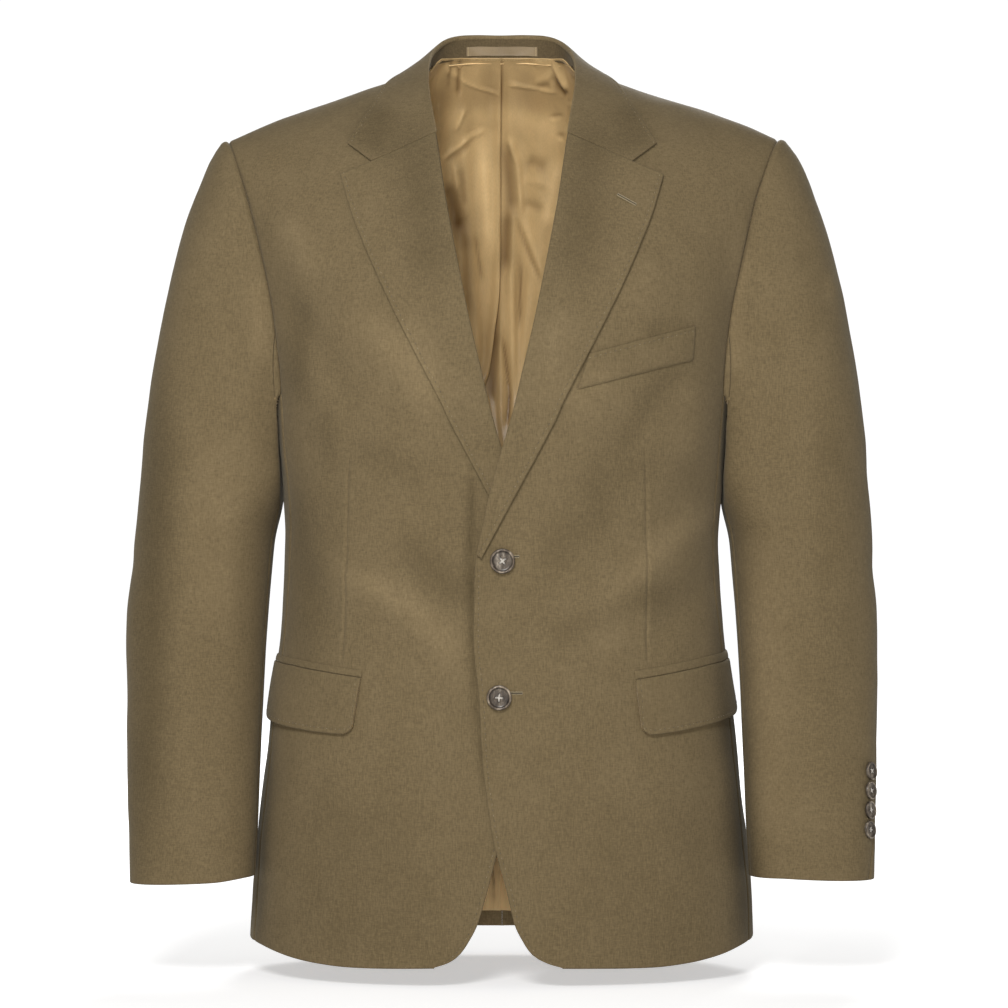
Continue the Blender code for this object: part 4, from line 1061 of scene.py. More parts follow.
def brushed_twill(name, middle):
    """Olive-brown wool: a fine steep twill under a short pile, with long faint slubs and soft clouds."""
    n = Nodes(name, middle, 0.85)
    clouds = n.noise(34.0, 4.0, (1.0, 1.0, 0.8), 0.6)
    slubs = n.noise(1150.0, 2.0, (1.0, 1.0, 0.16))
    picks = n.noise(1100.0, 2.0, (0.2, 0.2, 1.0))
    fuzz = n.noise(520.0, 3.0, (1.0, 1.0, 0.8))
    grain = n.math("ADD", n.math("MULTIPLY", slubs, 0.42), n.math("MULTIPLY", picks, 0.32))
    grain = n.math("ADD", grain, n.math("MULTIPLY", fuzz, 0.26))
    colour = n.ramp(grain, [(0.36, times(middle, 0.79)), (0.50, middle), (0.64, times(middle, 1.22))])
    cloudy = n.ramp(clouds, [(0.30, (0.95, 0.945, 0.935)), (0.70, (1.05, 1.05, 1.06))])
    colour = n.tint(colour, cloudy)
    # painted light and shade from each mesh's own values
    colour = n.tint(colour, n.by_painted_light((0.36, 0.35, 0.32), (1.62, 1.62, 1.66)))
    normal = n.bump(grain, 0.45, 0.0006)
    return n.finish(colour, normal, Sheen_Weight=0.10, Sheen_Roughness=0.5,
                    Sheen_Tint=(0.95, 0.90, 0.75, 1.0), Specular_IOR_Level=0.12)


def gold_satin(name, middle, rough=0.36):
    """Lining: smooth satin with a low shine and faint upright threads."""
    n = Nodes(name, middle, rough)
    threads = n.noise(1500.0, 1.0, (1.0, 1.0, 0.05))
    clouds = n.noise(38.0, 3.0, (1.0, 1.0, 0.5))
    colour = n.ramp(clouds, [(0.32, times(middle, 0.88)), (0.68, times(middle, 1.10))])
    fine = n.ramp(threads, [(0.3, (0.95, 0.95, 0.95)), (0.7, (1.04, 1.04, 1.04))])
    colour = n.tint(colour, fine)
    # painted light and shade on the satin, from each mesh's own values
    colour = n.tint(colour, n.by_painted_light((0.26, 0.20, 0.14), (1.75, 1.80, 1.90)))
    wrinkles = n.noise(95.0, 3.0, (1.0, 1.0, 0.55), 0.55)
    normal = n.bump(wrinkles, 0.30, 0.0016)
    normal = n.bump(threads, 0.15, 0.0003, normal)
    return n.finish(colour, normal, Sheen_Weight=0.15, Sheen_Roughness=0.3, Specular_IOR_Level=0.42,
                    Anisotropic=0.45)


def marbled_horn(name):
    """Dark grey-brown horn with paler streaks."""
    n = Nodes(name, rgb(70, 62, 56), 0.36)
    streaks = n.noise(210.0, 4.0, (1.0, 1.0, 0.45), 0.6)
    specks = n.noise(900.0, 2.0)
    colour = n.ramp(streaks, [(0.32, rgb(48, 41, 35)), (0.46, rgb(82, 72, 61)), (0.56, rgb(112, 101, 88)),
                              (0.68, rgb(164, 153, 137))])
    fine = n.ramp(specks, [(0.3, (0.86, 0.86, 0.86)), (0.7, (1.12, 1.12, 1.12))])
    colour = n.tint(colour, fine)
    # painted highlight and shade from each mesh's own values: on the buttons' rims, grooves and holes
    colour = n.tint(colour, n.by_painted_light((0.12, 0.11, 0.10), (2.4, 2.35, 2.25)))
    normal = n.bump(specks, 0.06, 0.0004)
    return n.finish(colour, normal, Coat_Weight=0.35, Coat_Roughness=0.2, Specular_IOR_Level=0.4)


def thread(name, colour):
    """Sewing thread, with its twist as a fine bump."""
    n = Nodes(name, colour, 0.6)
    twist = n.noise(1800.0, 1.0)
    shade = n.ramp(twist, [(0.3, times(colour, 0.8)), (0.7, times(colour, 1.15))])
    return n.finish(shade, n.bump(twist, 0.4, 0.0002), Sheen_Weight=0.2)


CLOTH_COLOUR = rgb(113, 98, 71)
cloth = brushed_twill("cloth_twill", CLOTH_COLOUR)
# a darker copy of the cloth for the stand, which lies under the fall: painted shade
stand_cloth = brushed_twill("stand_cloth", rgb(97, 83, 60))
satin = gold_satin("lining_satin", rgb(204, 172, 121))
tape_satin = gold_satin("tape_satin", rgb(146, 127, 98), 0.45)
horn = marbled_horn("horn")
pale_thread = thread("thread_pale", rgb(132, 117, 87))
dark_thread = thread("thread_dark", rgb(84, 72, 50))
# the slit of a buttonhole as a dark strip: painted shadow in the opening
slit_shade_strip = thread("painted_slit_shadow", rgb(46, 38, 26))
purl_thread = thread("thread_purl", rgb(152, 137, 105))
grey_thread = thread("thread_grey", rgb(212, 205, 194))
gold_thread = thread("thread_gold", rgb(214, 190, 140))


# ---- meshes -------------------------------------------------------------------------------------
def painted_light_at(points):
    """Painted light and shade of the cloth from its tables, 0.5 where it shows as in most of the cloth."""
    x, y, z = np.moveaxis(points, -1, 0)
    front = 1 - fade(y, -10.0, 40.0)
    seen = creases(x, z, PAINTED_CLOTH_LIGHT) * front + creases(x, z, PAINTED_REAR_LIGHT) * (1 - front)
    return np.clip(0.5 + PAINTED_LIGHT_STRENGTH * seen, 0.0, 1.0)


def place_object(name, data):
    obj = bpy.data.objects.new(name, data)
    bpy.context.collection.objects.link(obj)
    return obj


def mesh_object(name, points, faces, materials, painted_light=None):
    """A smooth-shaded piece of the root body, from points in millimetres that are already settled."""
    mesh = bpy.data.meshes.new(name)
    mesh.from_pydata((points * M).tolist(), [], faces)
    # each point's painted light and shade, which the material reads
    if painted_light is not None:
        mesh.attributes.new("painted_light", "FLOAT", "POINT").data.foreach_set("value", painted_light.astype(np.float32))
    mesh.shade_smooth()
    for mat in materials:
        mesh.materials.append(mat)
    obj = place_object(name, mesh)
    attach(obj, "root")
    return obj


def closed(name, outer, inner, side, materials, lined=None, painted_shading=None, inner_light=0.0):
    """A closed shell between two grids. lined says which of its inner faces take the second material."""
    rows, columns = outer.shape[:2]
    points = np.concatenate([outer.reshape(-1, 3), inner.reshape(-1, 3)])
    points = settle(mirror(points, side))
    index = np.arange(rows * columns).reshape(rows, columns)
    a, b, c, d = index[:-1, :-1], index[:-1, 1:], index[1:, 1:], index[1:, :-1]
    face = np.stack([a, b, c, d], -1).reshape(-1, 4)
    half = rows * columns
    rim = np.concatenate([index[0], index[1:, -1], index[-1, -2::-1], index[-2:0:-1, 0]])
    following = np.roll(rim, -1)
    strip = np.stack([following, rim, rim + half, following + half], -1)
    faces = np.concatenate([face, face[:, ::-1] + half, strip])
    if side < 0:
        faces = faces[:, ::-1]
    # painted light and shade of each point: from the cloth's tables, or as given, with more on the inner
    # faces
    if painted_shading is None:
        painted_light = painted_light_at(points)
    else:
        painted_light = np.concatenate([painted_shading.reshape(-1), painted_shading.reshape(-1) + inner_light])
    obj = mesh_object(name, points, faces.tolist(), materials, np.clip(painted_light, 0.0, 1.0))
    if lined is not None:
        indices = np.zeros(len(faces), np.int32)
        indices[len(face):2 * len(face)] = lined[:-1, :-1].reshape(-1)
        obj.data.polygons.foreach_set("material_index", indices)
    return obj


def cut_of(points):
    """Width, length and area of a panel laid flat, in metres, from its form without creases."""
    across = np.linalg.norm(np.diff(points, axis=1), axis=2)
    up = np.linalg.norm(np.diff(points, axis=0), axis=2)
    corner = np.cross(points[1:, 1:] - points[:-1, :-1], points[1:, :-1] - points[:-1, 1:])
    area = np.linalg.norm(corner, axis=-1).sum() / 2
    wide, long = across.sum(1).max(), up.sum(0).max()
    return wide * M, long * M, min(area, wide * long) * M * M


def shell(node, side, points, normals, proud=0.0, thick=CLOTH, seams=(0, 0, 0, 0), turns=(1.2,) * 4,
          lined=None, materials=None, painted_shading=None, inner_light=0.0):
    """One cloth piece that stands for a CAD node.

    seams is how deep the cloth dips at its first and last column and its first and last row; turns is
    how wide its edges are rounded there.
    """
    gaps = distances(points)
    thick = np.broadcast_to(np.asarray(thick, float), points.shape[:2])
    proud = np.broadcast_to(np.asarray(proud, float), points.shape[:2]).copy()
    turned = np.zeros(points.shape[:2])
    for gap, depth, wide in zip(gaps, seams, turns):
        proud -= depth * hill(gap, 1.7)
        turned = np.maximum(turned, rounding(gap, 0.45, wide))
    outer = points + normals * (proud - turned * thick)[..., None]
    inner = points + normals * (proud - thick + turned * thick)[..., None]
    obj = closed("cloth_" + node, outer, inner, side, materials or [cloth, satin], lined, painted_shading,
                 inner_light)
    wide, long, area = cut_of(points)
    long = max(long, SMALLEST_CUT)
    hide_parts(node)
    return outer


def side_name(side):
    return "left" if side > 0 else "right"


# ---- panels -------------------------------------------------------------------------------------
BODY_HEIGHT = Z_ARM - Z_HEM
RISE = 300.0            # about the length of a panel above the arm's level
PITCH = 3.6
FRONT_INSIDE = 135.0    # about the width of a front between its edge and its dart
FRONT_OUTSIDE = 75.0    # and between the dart and its side seam
NEAR_DART = [0.0, 0.7, 1.5, 2.6, 4.2]
UNLINED = {"front": (78.0, 22.0), "back": 14.0, "side": 16.0, "sleeve": 26.0}   # cloth inside an edge


def body_levels(pitch=PITCH):
    at = spread(BODY_HEIGHT + RISE, pitch) * (BODY_HEIGHT + RISE)
    return np.where(at <= BODY_HEIGHT, at / BODY_HEIGHT, 1.0 + (at - BODY_HEIGHT) / RISE)


def share_armhole(points, normals, level, back, gap):
    """Near the armhole and the shoulder seam, turns the thickness the way the neighbours turn it."""
    cut = 180.0 * UNDERARM
    angle = cut + (np.maximum(level, 1.0) - 1.0) * (180.0 - cut)
    angle = 360.0 - angle if back else angle
    to_arm = armhole_outward(np.broadcast_to(angle, gap[1].shape))
    side_gap = gap[0] if back else gap[1]
    below = np.maximum(1.0 - level, 0.0) * BODY_HEIGHT
    normals = blend(normals, to_arm, hill(side_gap, 5.0) * hill(below, 5.0))
    x = points[..., 0]
    slope = (shoulder_z(x + 1.0) - shoulder_z(x - 1.0)) / 2.0
    over = x > NECK_X - 1.0 if back else np.full(x.shape, True)
    return unit(blend(normals, unit(vec(-slope, 0.0, 1.0)), hill(gap[3], 5.0) * over))


def make_front(side):
    level = body_levels()[:, None]
    z = mix(Z_HEM, Z_ARM, np.minimum(level, 1.0))
    dart = read(DARTS, z)[0 if side > 0 else 1] / seam_x(z, False)
    edge = edge_w(side, level)
    last = 1.0 - SEAM / 2 / reach(level, False)
    inner = spread(FRONT_INSIDE, PITCH, True, False) * FRONT_INSIDE
    inner = np.concatenate([inner[inner < FRONT_INSIDE - 6.0], FRONT_INSIDE - np.array(NEAR_DART[::-1])])
    inner = inner / FRONT_INSIDE
    outer = spread(FRONT_OUTSIDE, PITCH, False, True) * FRONT_OUTSIDE
    outer = np.concatenate([NEAR_DART[1:], outer[outer > 6.0]]) / FRONT_OUTSIDE
    w = np.concatenate([mix(edge, dart, inner[None]), mix(dart, last, outer[None])], 1)
    dart_column = len(inner) - 1
    points = panel(w, level, False)
    normals = grid_normals(points)
    if side < 0:
        points = points - normals * under(points[..., 0], points[..., 2])[..., None]
    points[-1, :, 1] -= SEAM / 2
    gaps = distances(points)
    normals = share_armhole(points, normals, level, False, gaps)
    proud = relief(points, normals, side)
    from_dart = np.abs(gaps[0] - gaps[0][:, dart_column:dart_column + 1])
    z = points[..., 2]
    sewn = ease((z - DART_ENDS[0]) / 8.0) * ease((DART_ENDS[1] - z) / 30.0)
    proud -= 0.75 * sewn * hill(from_dart, 1.2)
    proud += 0.35 * sewn * hill(from_dart - 3.0, 2.0)
    stitched = 1 - ease((z - LAPEL_END[side]) / 20.0)
    proud -= 0.28 * stitched * hill(gaps[0] - STITCH_IN, 1.0)
    facing, hem = UNLINED["front"]
    lined = ((gaps[0] > facing) & (gaps[2] > hem)).astype(float)
    # painted light and shade on the front, and on the wearer's right one the painted shade beside the left
    # front's edge
    painted_shading = painted_light_at(mirror(points, side))
    if side < 0:
        painted_shading = painted_shading + creases(-points[..., 0], z, UNDERLAP_SHADE)
    outer = shell("front_" + side_name(side), side, points, normals, proud,
                  seams=(0, 0.9, 0, 0.7), turns=(1.3, 0.9, 1.3, 0.9), lined=lined, painted_shading=painted_shading)
    return outer, normals, gaps


def make_back(side):
    level = body_levels()[:, None]
    ends = SEAM / 2 / reach(level, True)
    w = mix(ends, 1.0 - ends, spread(205.0, PITCH)[None])[:, ::-1]
    points = panel(w, level, True)
    normals = grid_normals(points)
    points[-1, :, 1] += np.where(points[-1, :, 0] > NECK_X - 1.0, SEAM / 2, 0.0)
    gaps = distances(points)
    normals = share_armhole(points, normals, level, True, gaps)
    proud = relief(points, normals, side)
    z = points[..., 2]
    vent = 1 - ease((z - VENT_TOP) / 10.0)
    proud = mix(proud, np.maximum(proud, 0.0), vent * hill(gaps[0], 40.0))
    proud -= 0.28 * vent * hill(gaps[0] - STITCH_IN, 1.0)
    lined = (gaps[2] > UNLINED["back"]).astype(float)
    # the back's inner faces get painted light
    shell("back_" + side_name(side), side, points, normals, proud,
          seams=(0.8 * (1 - vent[:, :1]), 0.7, 0, 0.7), turns=(1.1, 0.9, 1.3, 0.9), lined=lined,
          painted_shading=painted_light_at(mirror(points, side)), inner_light=HEM_LIGHT)


def make_side(side):
    z = mix(Z_HEM, Z_ARM, spread(BODY_HEIGHT, PITCH))[:, None]
    y_front, y_back = read(SIDE_SEAMS, z)
    wide = y_front + y_back
    gap = SEAM / 2 / wide
    lap = VENT_LAP / wide * np.clip((VENT_TOP - z) / 42.0, 0.0, 1.0)
    f = mix(gap, 1.0 - gap + lap, spread(118.0, PITCH)[None])
    points = side_panel(z, f)
    normals = grid_normals(points)
    angle = 180.0 * UNDERARM * (1 - 2 * f) + 0.0 * z
    gaps = distances(points)
    normals = unit(blend(normals, armhole_outward(angle), hill(gaps[3], 5.0)))
    opened = ease((-506.0 - z) / 14.0)
    drop = VENT_DROP * ease((f - 0.70) / 0.23) * opened
    points = points - normals * drop[..., None]
    calm = 1 - ease((f - 0.6) / 0.3) * opened
    proud = relief(points, normals, side) * calm
    lined = (gaps[2] > UNLINED["side"]).astype(float)
    shell("side_" + side_name(side), side, points, normals, proud,
          seams=(0.9, 0.8 * (1 - opened), 0, 0.6), turns=(0.9, 0.9, 1.3, 0.9), lined=lined)


def make_sleeve(side):
    column = 1 if side > 0 else 2
    at = spread(620.0, PITCH + 0.2)
    level = (2.0 * at[::-1])[:, None]
    front = read(SLEEVE_SEAMS, level)[0]
    elbow = read(SLEEVE_SEAMS, level)[column]
    gap = math.degrees(SLEEVE_SEAM / 2 / SLEEVE_RINGS[0][3])
    for name, first, last, size in (("top_sleeve_", front, elbow, 195.0),
                                    ("under_sleeve_", elbow, front + 360.0, 165.0)):
        angle = mix(first + gap, last - gap, spread(size, PITCH + 0.3)[None])
        points = sleeve(angle, level)
        normals = grid_normals(points)
        gaps = distances(points)
        normals = unit(blend(normals, armhole_outward(angle), hill(gaps[3], 5.0)))
        inside = ease((np.cos(np.radians(angle)) - 0.1) / 0.5)
        proud = relief(points, normals, side) * (1 - 0.8 * inside)
        rope = ease((-np.cos(np.radians(angle)) + 0.2) / 0.6)
        proud += 0.9 * rope * hill(gaps[3] - 5.5, 3.6)
        lined = (gaps[2] > UNLINED["sleeve"]).astype(float)
        shell(name + side_name(side), side, points, normals, proud,
              seams=(0.8, 0.8, 0, 0.9), turns=(0.9, 0.9, 1.3, 0.9), lined=lined)


# ---- lapels and collar --------------------------------------------------------------------------
def notch_row(start, corner, tip, s):
    """x, z along the gorge seam to the notch and on to a point."""
    f = np.clip(s / NOTCH_TURN, 0.0, 1.0)[..., None]
    g = np.clip((s - NOTCH_TURN) / (1 - NOTCH_TURN), 0.0, 1.0)[..., None]
    start, corner, tip = np.array(start), np.array(corner), np.array(tip)
    return start + (corner - start) * f + (tip - corner) * g


def roll_over(points, normals, radius, inside):
    """Adds columns before the first one, where the cloth rolls over and runs down inside."""
    away = unit(points[:, 0] - points[:, 1])
    n = normals[:, 0]
    turn = math.pi / 2 * (1 + ease(inside / 6.0))
    extra_p, extra_n = [], []
    for f in FALL_STEPS[::-1]:
        a = (turn * min(f, 1.0))[:, None]
        edge = points[:, 0] + radius[:, None] * (away * np.sin(a) - n * (1 - np.cos(a)))
        ahead = away * np.cos(a) - n * np.sin(a)
        extra_p.append(edge + ahead * inside[:, None] * max(f - 1.0, 0.0))
        extra_n.append(n * np.cos(a) + away * np.sin(a))
    return (np.concatenate([np.stack(extra_p, 1), points], 1),
            np.concatenate([np.stack(extra_n, 1), normals], 1))


def make_lapel(side):
    end = LAPEL_END[side]
    start = (GORGE[0], GORGE[1] - NOTCH_GAP * 0.35)
    s = spread(78.0, 2.4)
    s = np.unique(np.append(s, NOTCH_TURN))[None]
    f = spread(345.0, 2.6)[:, None]
    z_roll, z_out = mix(start[1], end, f), mix(LAPEL_POINT[1], end - 3.0, f)
    x_roll, x_out = edge_x(side, z_roll), read(LAPEL_EDGE, z_out)[0]
    x, z = mix(x_roll, x_out, s), mix(z_roll, z_out, s)
    top = notch_row(start, (NOTCH[0], NOTCH[1] - NOTCH_GAP), LAPEL_POINT, s)
    near_top = 1 - ease(f * 5.0)
    x = x + (top[..., 0] - mix(start[0], LAPEL_POINT[0], s)) * near_top
    z = z + (top[..., 1] - mix(start[1], LAPEL_POINT[1], s)) * near_top
    x, z, s = [np.broadcast_to(v, x.shape)[::-1] for v in (x, z, s)]
    base, skin = front_skin(x, z, side)
    out = mix(ROLL_OUT, LAPEL_OUT, np.minimum(s / 0.5, 1.0)) + EDGE_LIFT * ease((s - 0.75) / 0.25)
    low = out - mix(ROLL_OUT - 0.7, CLOTH, np.minimum(s / 0.3, 1.0))
    points = base + skin * out[..., None]
    gaps = distances(points)
    proud = relief(base, skin, side)
    proud -= 0.30 * hill(gaps[1] - STITCH_IN, 1.0) * (gaps[3] > 2.0)
    proud -= 0.25 * hill(gaps[3] - STITCH_IN, 1.0) * (s > NOTCH_TURN)
    outer = shell("lapel_" + side_name(side), side, points, skin, proud, thick=out - low,
                  turns=(8.0, 1.3, 1.0, 1.2),
                  materials=[cloth, cloth])
    return outer, skin, gaps


def refine(rows, count):
    """Smoothly adds rows to a stack of rows of points."""
    step = np.linalg.norm(np.diff(rows, axis=0), axis=-1).mean(-1)
    at = np.concatenate([[0.0], np.cumsum(step)])
    table = np.concatenate([at[:, None], rows.reshape(len(rows), -1)], 1)
    fine = np.stack(read(table.tolist(), count * at[-1]), -1)
    return fine.reshape(len(count), *rows.shape[1:])


def lift(points, s):
    """Keeps the collar at least a lapel's height outside the fronts."""
    low = (points[..., 1] < 5.0) & (points[..., 2] < shoulder_z(np.abs(points[..., 0])) - 1.0)
    out = mix(ROLL_OUT, LAPEL_OUT, s)
    skin = on_front(np.abs(points[..., 0]), np.minimum(points[..., 2], 12.0), out, 1)
    points[..., 1] = np.where(low, np.minimum(points[..., 1], skin[..., 1]), points[..., 1])
    return points


def make_collar():
    s = spread(46.0, 2.0, False, True)
    s = np.unique(np.append(s, NOTCH_TURN))
    half = []
    for fx, fy, fz, ex, ez, where, bulge in COLLAR:
        fold = np.array([fx, fy, fz])
        if where == "back":
            edge = on_back(ex, ez, LAPEL_OUT)
        elif where == "front":
            edge = on_front(ex, ez, LAPEL_OUT, 1)
        else:
            edge = np.array([ex, where, ez])
        out = edge - fold
        top = fold + out * np.array([bulge, bulge, mix(0.30, 0.12, bulge / 0.62)])
        q = s[:, None]
        half.append((1 - q) ** 2 * fold + 2 * q * (1 - q) * top + q * q * edge)
    gorge = notch_row((GORGE[0], GORGE[1] + NOTCH_GAP * 0.35), (NOTCH[0], NOTCH[1] + NOTCH_GAP),
                      COLLAR_POINT, s)
    half.append(on_front(gorge[:, 0], gorge[:, 1], mix(ROLL_OUT, LAPEL_OUT, np.minimum(s / 0.5, 1.0)), 1))
    half = np.array(half)
    mirrored = mirror(half[:0:-1], -1)
    rows = refine(np.concatenate([mirrored, half]), spread(520.0, 2.4))
    rows = lift(rows, s)
    points = rows[::-1]
    normals = grid_normals(points)
    y = points[:, 0, 1]
    radius = mix(1.1, 2.25, ease((y + 20.0) / 60.0))
    points, normals = roll_over(points, normals, radius, FALL_INSIDE * ease((y + 36.0) / 42.0))
    gaps = distances(points)
    proud = 0.5 * waves(points)
    proud -= 0.28 * hill(gaps[1] - STITCH_IN, 1.0)
    painted_shading = painted_light_at(points)
    # painted light on the collar's inside band
    painted_shading[:, :len(FALL_STEPS)] += FALL_LIGHT
    outer = shell("collar_fall", 1, points, normals, proud, thick=CLOTH - 0.2,
                  turns=(0.8, 1.3, 1.1, 1.1),
                  materials=[cloth, cloth], painted_shading=painted_shading)
    return outer, normals, gaps


def stand_grid(count, s):
    """The side of the stand that faces the fall: rows along the collar, columns from its foot up."""
    half = []
    for foot, row in zip(STAND_FOOT, COLLAR):
        high = np.array([row[0], row[1], row[2] - STAND_DROP])
        inward = -unit(np.array([high[0], high[1], 0.0])) * 0.8
        half.append(mix(np.array(foot), high + inward, s[:, None]))
    half = np.array(half)
    mirrored = mirror(half[:0:-1], -1)
    return refine(np.concatenate([mirrored, half]), count)


def make_stand():
    lines = stand_grid(spread(300.0, 2.4), spread(21.0, 1.8))
    points = np.swapaxes(lines, 0, 1)[:, ::-1]
    normals = grid_normals(points)
    shell("collar_stand", 1, points, normals, 0.15 * waves(points), thick=STAND,
          turns=(0.8,) * 4, materials=[stand_cloth, stand_cloth])


def make_tape():
    """The bare tape on the inside of the stand."""
    lines = stand_grid(LINE_PLACES, np.array([0.0, *TAPE_SHARES, 1.0]))
    x = lines[:, 0, 0]
    order = np.argsort(x)
    at = TAPE_SIZE[0] * (spread(TAPE_SIZE[0], 1.4) - 0.5)
    s = spread(TAPE_SIZE[1], 0.8)
    low, high = [along_line(at, lines[order, row, 0], lines[order, row]) for row in (1, 2)]
    points = mix(low[None], high[None], s[:, None, None])
    normals = grid_normals(points)
    points = points + normals * (STAND + TAPE_GAP + TAPE)
    gaps = distances(points)
    proud = 0.18 * np.sin(points[..., 0] / 2.7 + 2.0 * s[:, None]) + 0.14 * np.sin(points[..., 0] / 4.9)
    proud = np.maximum(proud, -0.15) * ease(gaps[0] / 4.0) * ease(gaps[1] / 4.0)
    outer = shell("neck_tape", 1, points, normals, proud, thick=TAPE, turns=(0.5,) * 4,
                  materials=[tape_satin, tape_satin])
    return outer, normals, gaps


# ---- pockets ------------------------------------------------------------------------------------
def along(line, f):
    """Points of an open line of evenly counted corners, at f from 0 to 1."""
    at = np.linspace(0.0, 1.0, len(line))
    line = np.array(line)
    return np.interp(f, at, line[:, 0]), np.interp(f, at, line[:, 1])


def hip_point(turn, z, out):
    half, front, _, power, _ = read(BODY_RINGS, z)
    a = np.radians(turn)
    x = half * np.sin(a) ** (2 / power)
    y = -front * np.cos(a) ** (2 / power)
    lean = (read(BODY_RINGS, z + 3.0)[0] - read(BODY_RINGS, z - 3.0)[0]) / 6.0
    n = unit(vec((x / half) ** (power - 1) / half, -(-y / front) ** (power - 1) / front, 0.0))
    n = unit(n - vec(0.0, 0.0, lean))
    return vec(x, y, z) + n * np.asarray(out)[..., None], n


def turn_of(line):
    return [(math.degrees(math.asin(share ** (float(read(BODY_RINGS, z)[3]) / 2))), z) for share, z in line]


def hip_piece(name, side, low, high, base, top, rounded, seams, size):
    f = spread(size[0], 2.0)[None]
    g = spread(size[1], 1.8)[:, None]
    cut = np.maximum(np.maximum(FLAP_CORNER - f, f - 1 + FLAP_CORNER), 0.0) / FLAP_CORNER
    foot = FLAP_ROUND * (1 - np.sqrt(1 - cut * cut)) if rounded else 0.0
    g = mix(foot, 1.0, g) + 0.0 * f
    f = f + 0.0 * g
    a_turn, a_z = along(turn_of(low), f)
    b_turn, b_z = along(turn_of(high), f)
    turn, z = mix(a_turn, b_turn, g), mix(a_z, b_z, g)
    points, normals = hip_point(turn, z, mix(top[0], top[1], g))
    under_face, _ = hip_point(turn, z, mix(base[0], base[1], g))
    skin, _ = hip_point(turn, z, 0.0 * z)
    proud = relief(skin, normals, side)
    gaps = distances(points)
    if rounded:
        bow = ease(gaps[3] / 30.0)
        proud += 0.5 * bow * np.sin(f * 7.0 + (0.6 if side > 0 else 2.2))
        for gap in gaps[:3]:
            proud = proud - 0.25 * hill(gap - STITCH_IN, 1.0)
    outer = shell(name + "_" + side_name(side), side, points, normals, proud,
                  thick=np.linalg.norm(points - under_face, axis=-1), seams=seams,
                  turns=(1.1, 1.1, 1.2, 0.8),
                  materials=[cloth, satin if rounded else cloth],
                  lined=np.full(points.shape[:2], 1.0) if rounded else None)
    return outer, normals, gaps


def make_hip_pocket(side):
    flap = hip_piece("flap", side, FLAP_BOTTOM[side], FLAP_TOP[side], (1.7, 0.7), (4.0, 2.7), True,
                     (0, 0, 0, 0.3), FLAP_SIZE)
    jet_low = [(share, z + 0.3) for share, z in FLAP_TOP[side]]
    jet_high = [(share, z + JET_HEIGHT[side]) for share, z in FLAP_TOP[side]]
    hip_piece("jet", side, jet_low, jet_high, (0.5, 0.5), (2.0, 1.6), False,
              (0.3, 0.3, 0.1, 0.6), JET_SIZE)
    return flap


def make_welt():
    f, g = spread(WELT_SIZE[0], 2.0)[None], spread(WELT_SIZE[1], 1.8)[:, None]
    low_x, low_z = along(WELT_LOW, f)
    high_x, high_z = along(WELT_HIGH, f)
    base, normals = front_skin(mix(low_x, high_x, g), mix(low_z, high_z, g), 1)
    points = base + normals * WELT_OUT[1]
    gaps = distances(points)
    proud = relief(base, normals, 1)
    proud -= 0.25 * hill(gaps[3] - STITCH_IN, 1.0)
    outer = shell("welt_pocket", 1, points, normals, proud, thick=WELT_OUT[1] - WELT_OUT[0],
                  seams=(0.6, 0.6, 0.9, 0.0), turns=(1.0, 1.0, 0.9, 1.1),
                  materials=[cloth, cloth])
    return outer, normals, gaps


# ---- lining -------------------------------------------------------------------------------------
def reach_stand(top):
    """How far each place of the lining's top row moves, to lap over the stand in a level line."""
    lines = stand_grid(LINE_PLACES, np.array([0.0, 1.0]))[len(LINE_PLACES) // 2:]
    foot, high = lines[:, 0], lines[:, 1]
    level = 28.7 - 4.2 * (np.abs(foot[:, 0]) / 62.0) ** 3
    share = np.clip((level - foot[:, 2]) / (high[:, 2] - foot[:, 2]), 0.0, 0.9)
    line = blend(foot, high, share)
    ahead = unit(np.gradient(foot[:, :2], axis=0))
    inward = np.stack([ahead[:, 1], -ahead[:, 0]], -1)
    line[:, :2] += inward * np.sign(ahead[0, 0]) * (STAND + LINING + 0.5)
    turn = np.arctan2(foot[:, 0] / NECK_X, (foot[:, 1] - 13.0) / 49.0)
    at = np.arcsin(np.clip(top[:, 0] / NECK_X, -1.0, 1.0))
    want = along_line(np.abs(at), turn, line)
    want[:, 0] *= np.sign(at)
    near = 1 - ease((np.abs(top[:, 0]) - 57.0) / 10.0)
    return (want - top) * near[:, None]


def lining_grid(side):
    """w, level and x of the lining's places, and x of the pleat's edge in each row."""
    lowest = (LINING_LOW - Z_HEM) / BODY_HEIGHT
    at = spread(BODY_HEIGHT + RISE, LINING_PITCH[1])
    at = at + 0.25 * at * (1 - at)      # closer rows in the upper half, which shows
    high = (lowest * BODY_HEIGHT) + at * (BODY_HEIGHT * (1 - lowest) + RISE * (LINING_TOP - 1.0))
    level = np.where(high <= BODY_HEIGHT, high / BODY_HEIGHT, 1.0 + (high - BODY_HEIGHT) / RISE)[:, None]
    span = reach(level, True)
    narrowed = mix(LINING_WIDTH, LINING_TOP_WIDTH, fade(level, 1.3, 0.7))
    wide = np.where(level < 1.3, LINING_WIDTH, narrowed)
    z = mix(Z_HEM, Z_ARM, level) + np.maximum(level - 1.0, 0.0) * (NECK_BACK[1] - Z_HEM - BODY_HEIGHT)
    edge = -read(PLEAT_EDGE, z)[0]
    first = -edge - PLEAT_UNDER if side > 0 else edge
    w = mix(first / span, wide, spread(165.0, LINING_PITCH[0])[None] ** 1.3)
    return w, level, w * span, edge


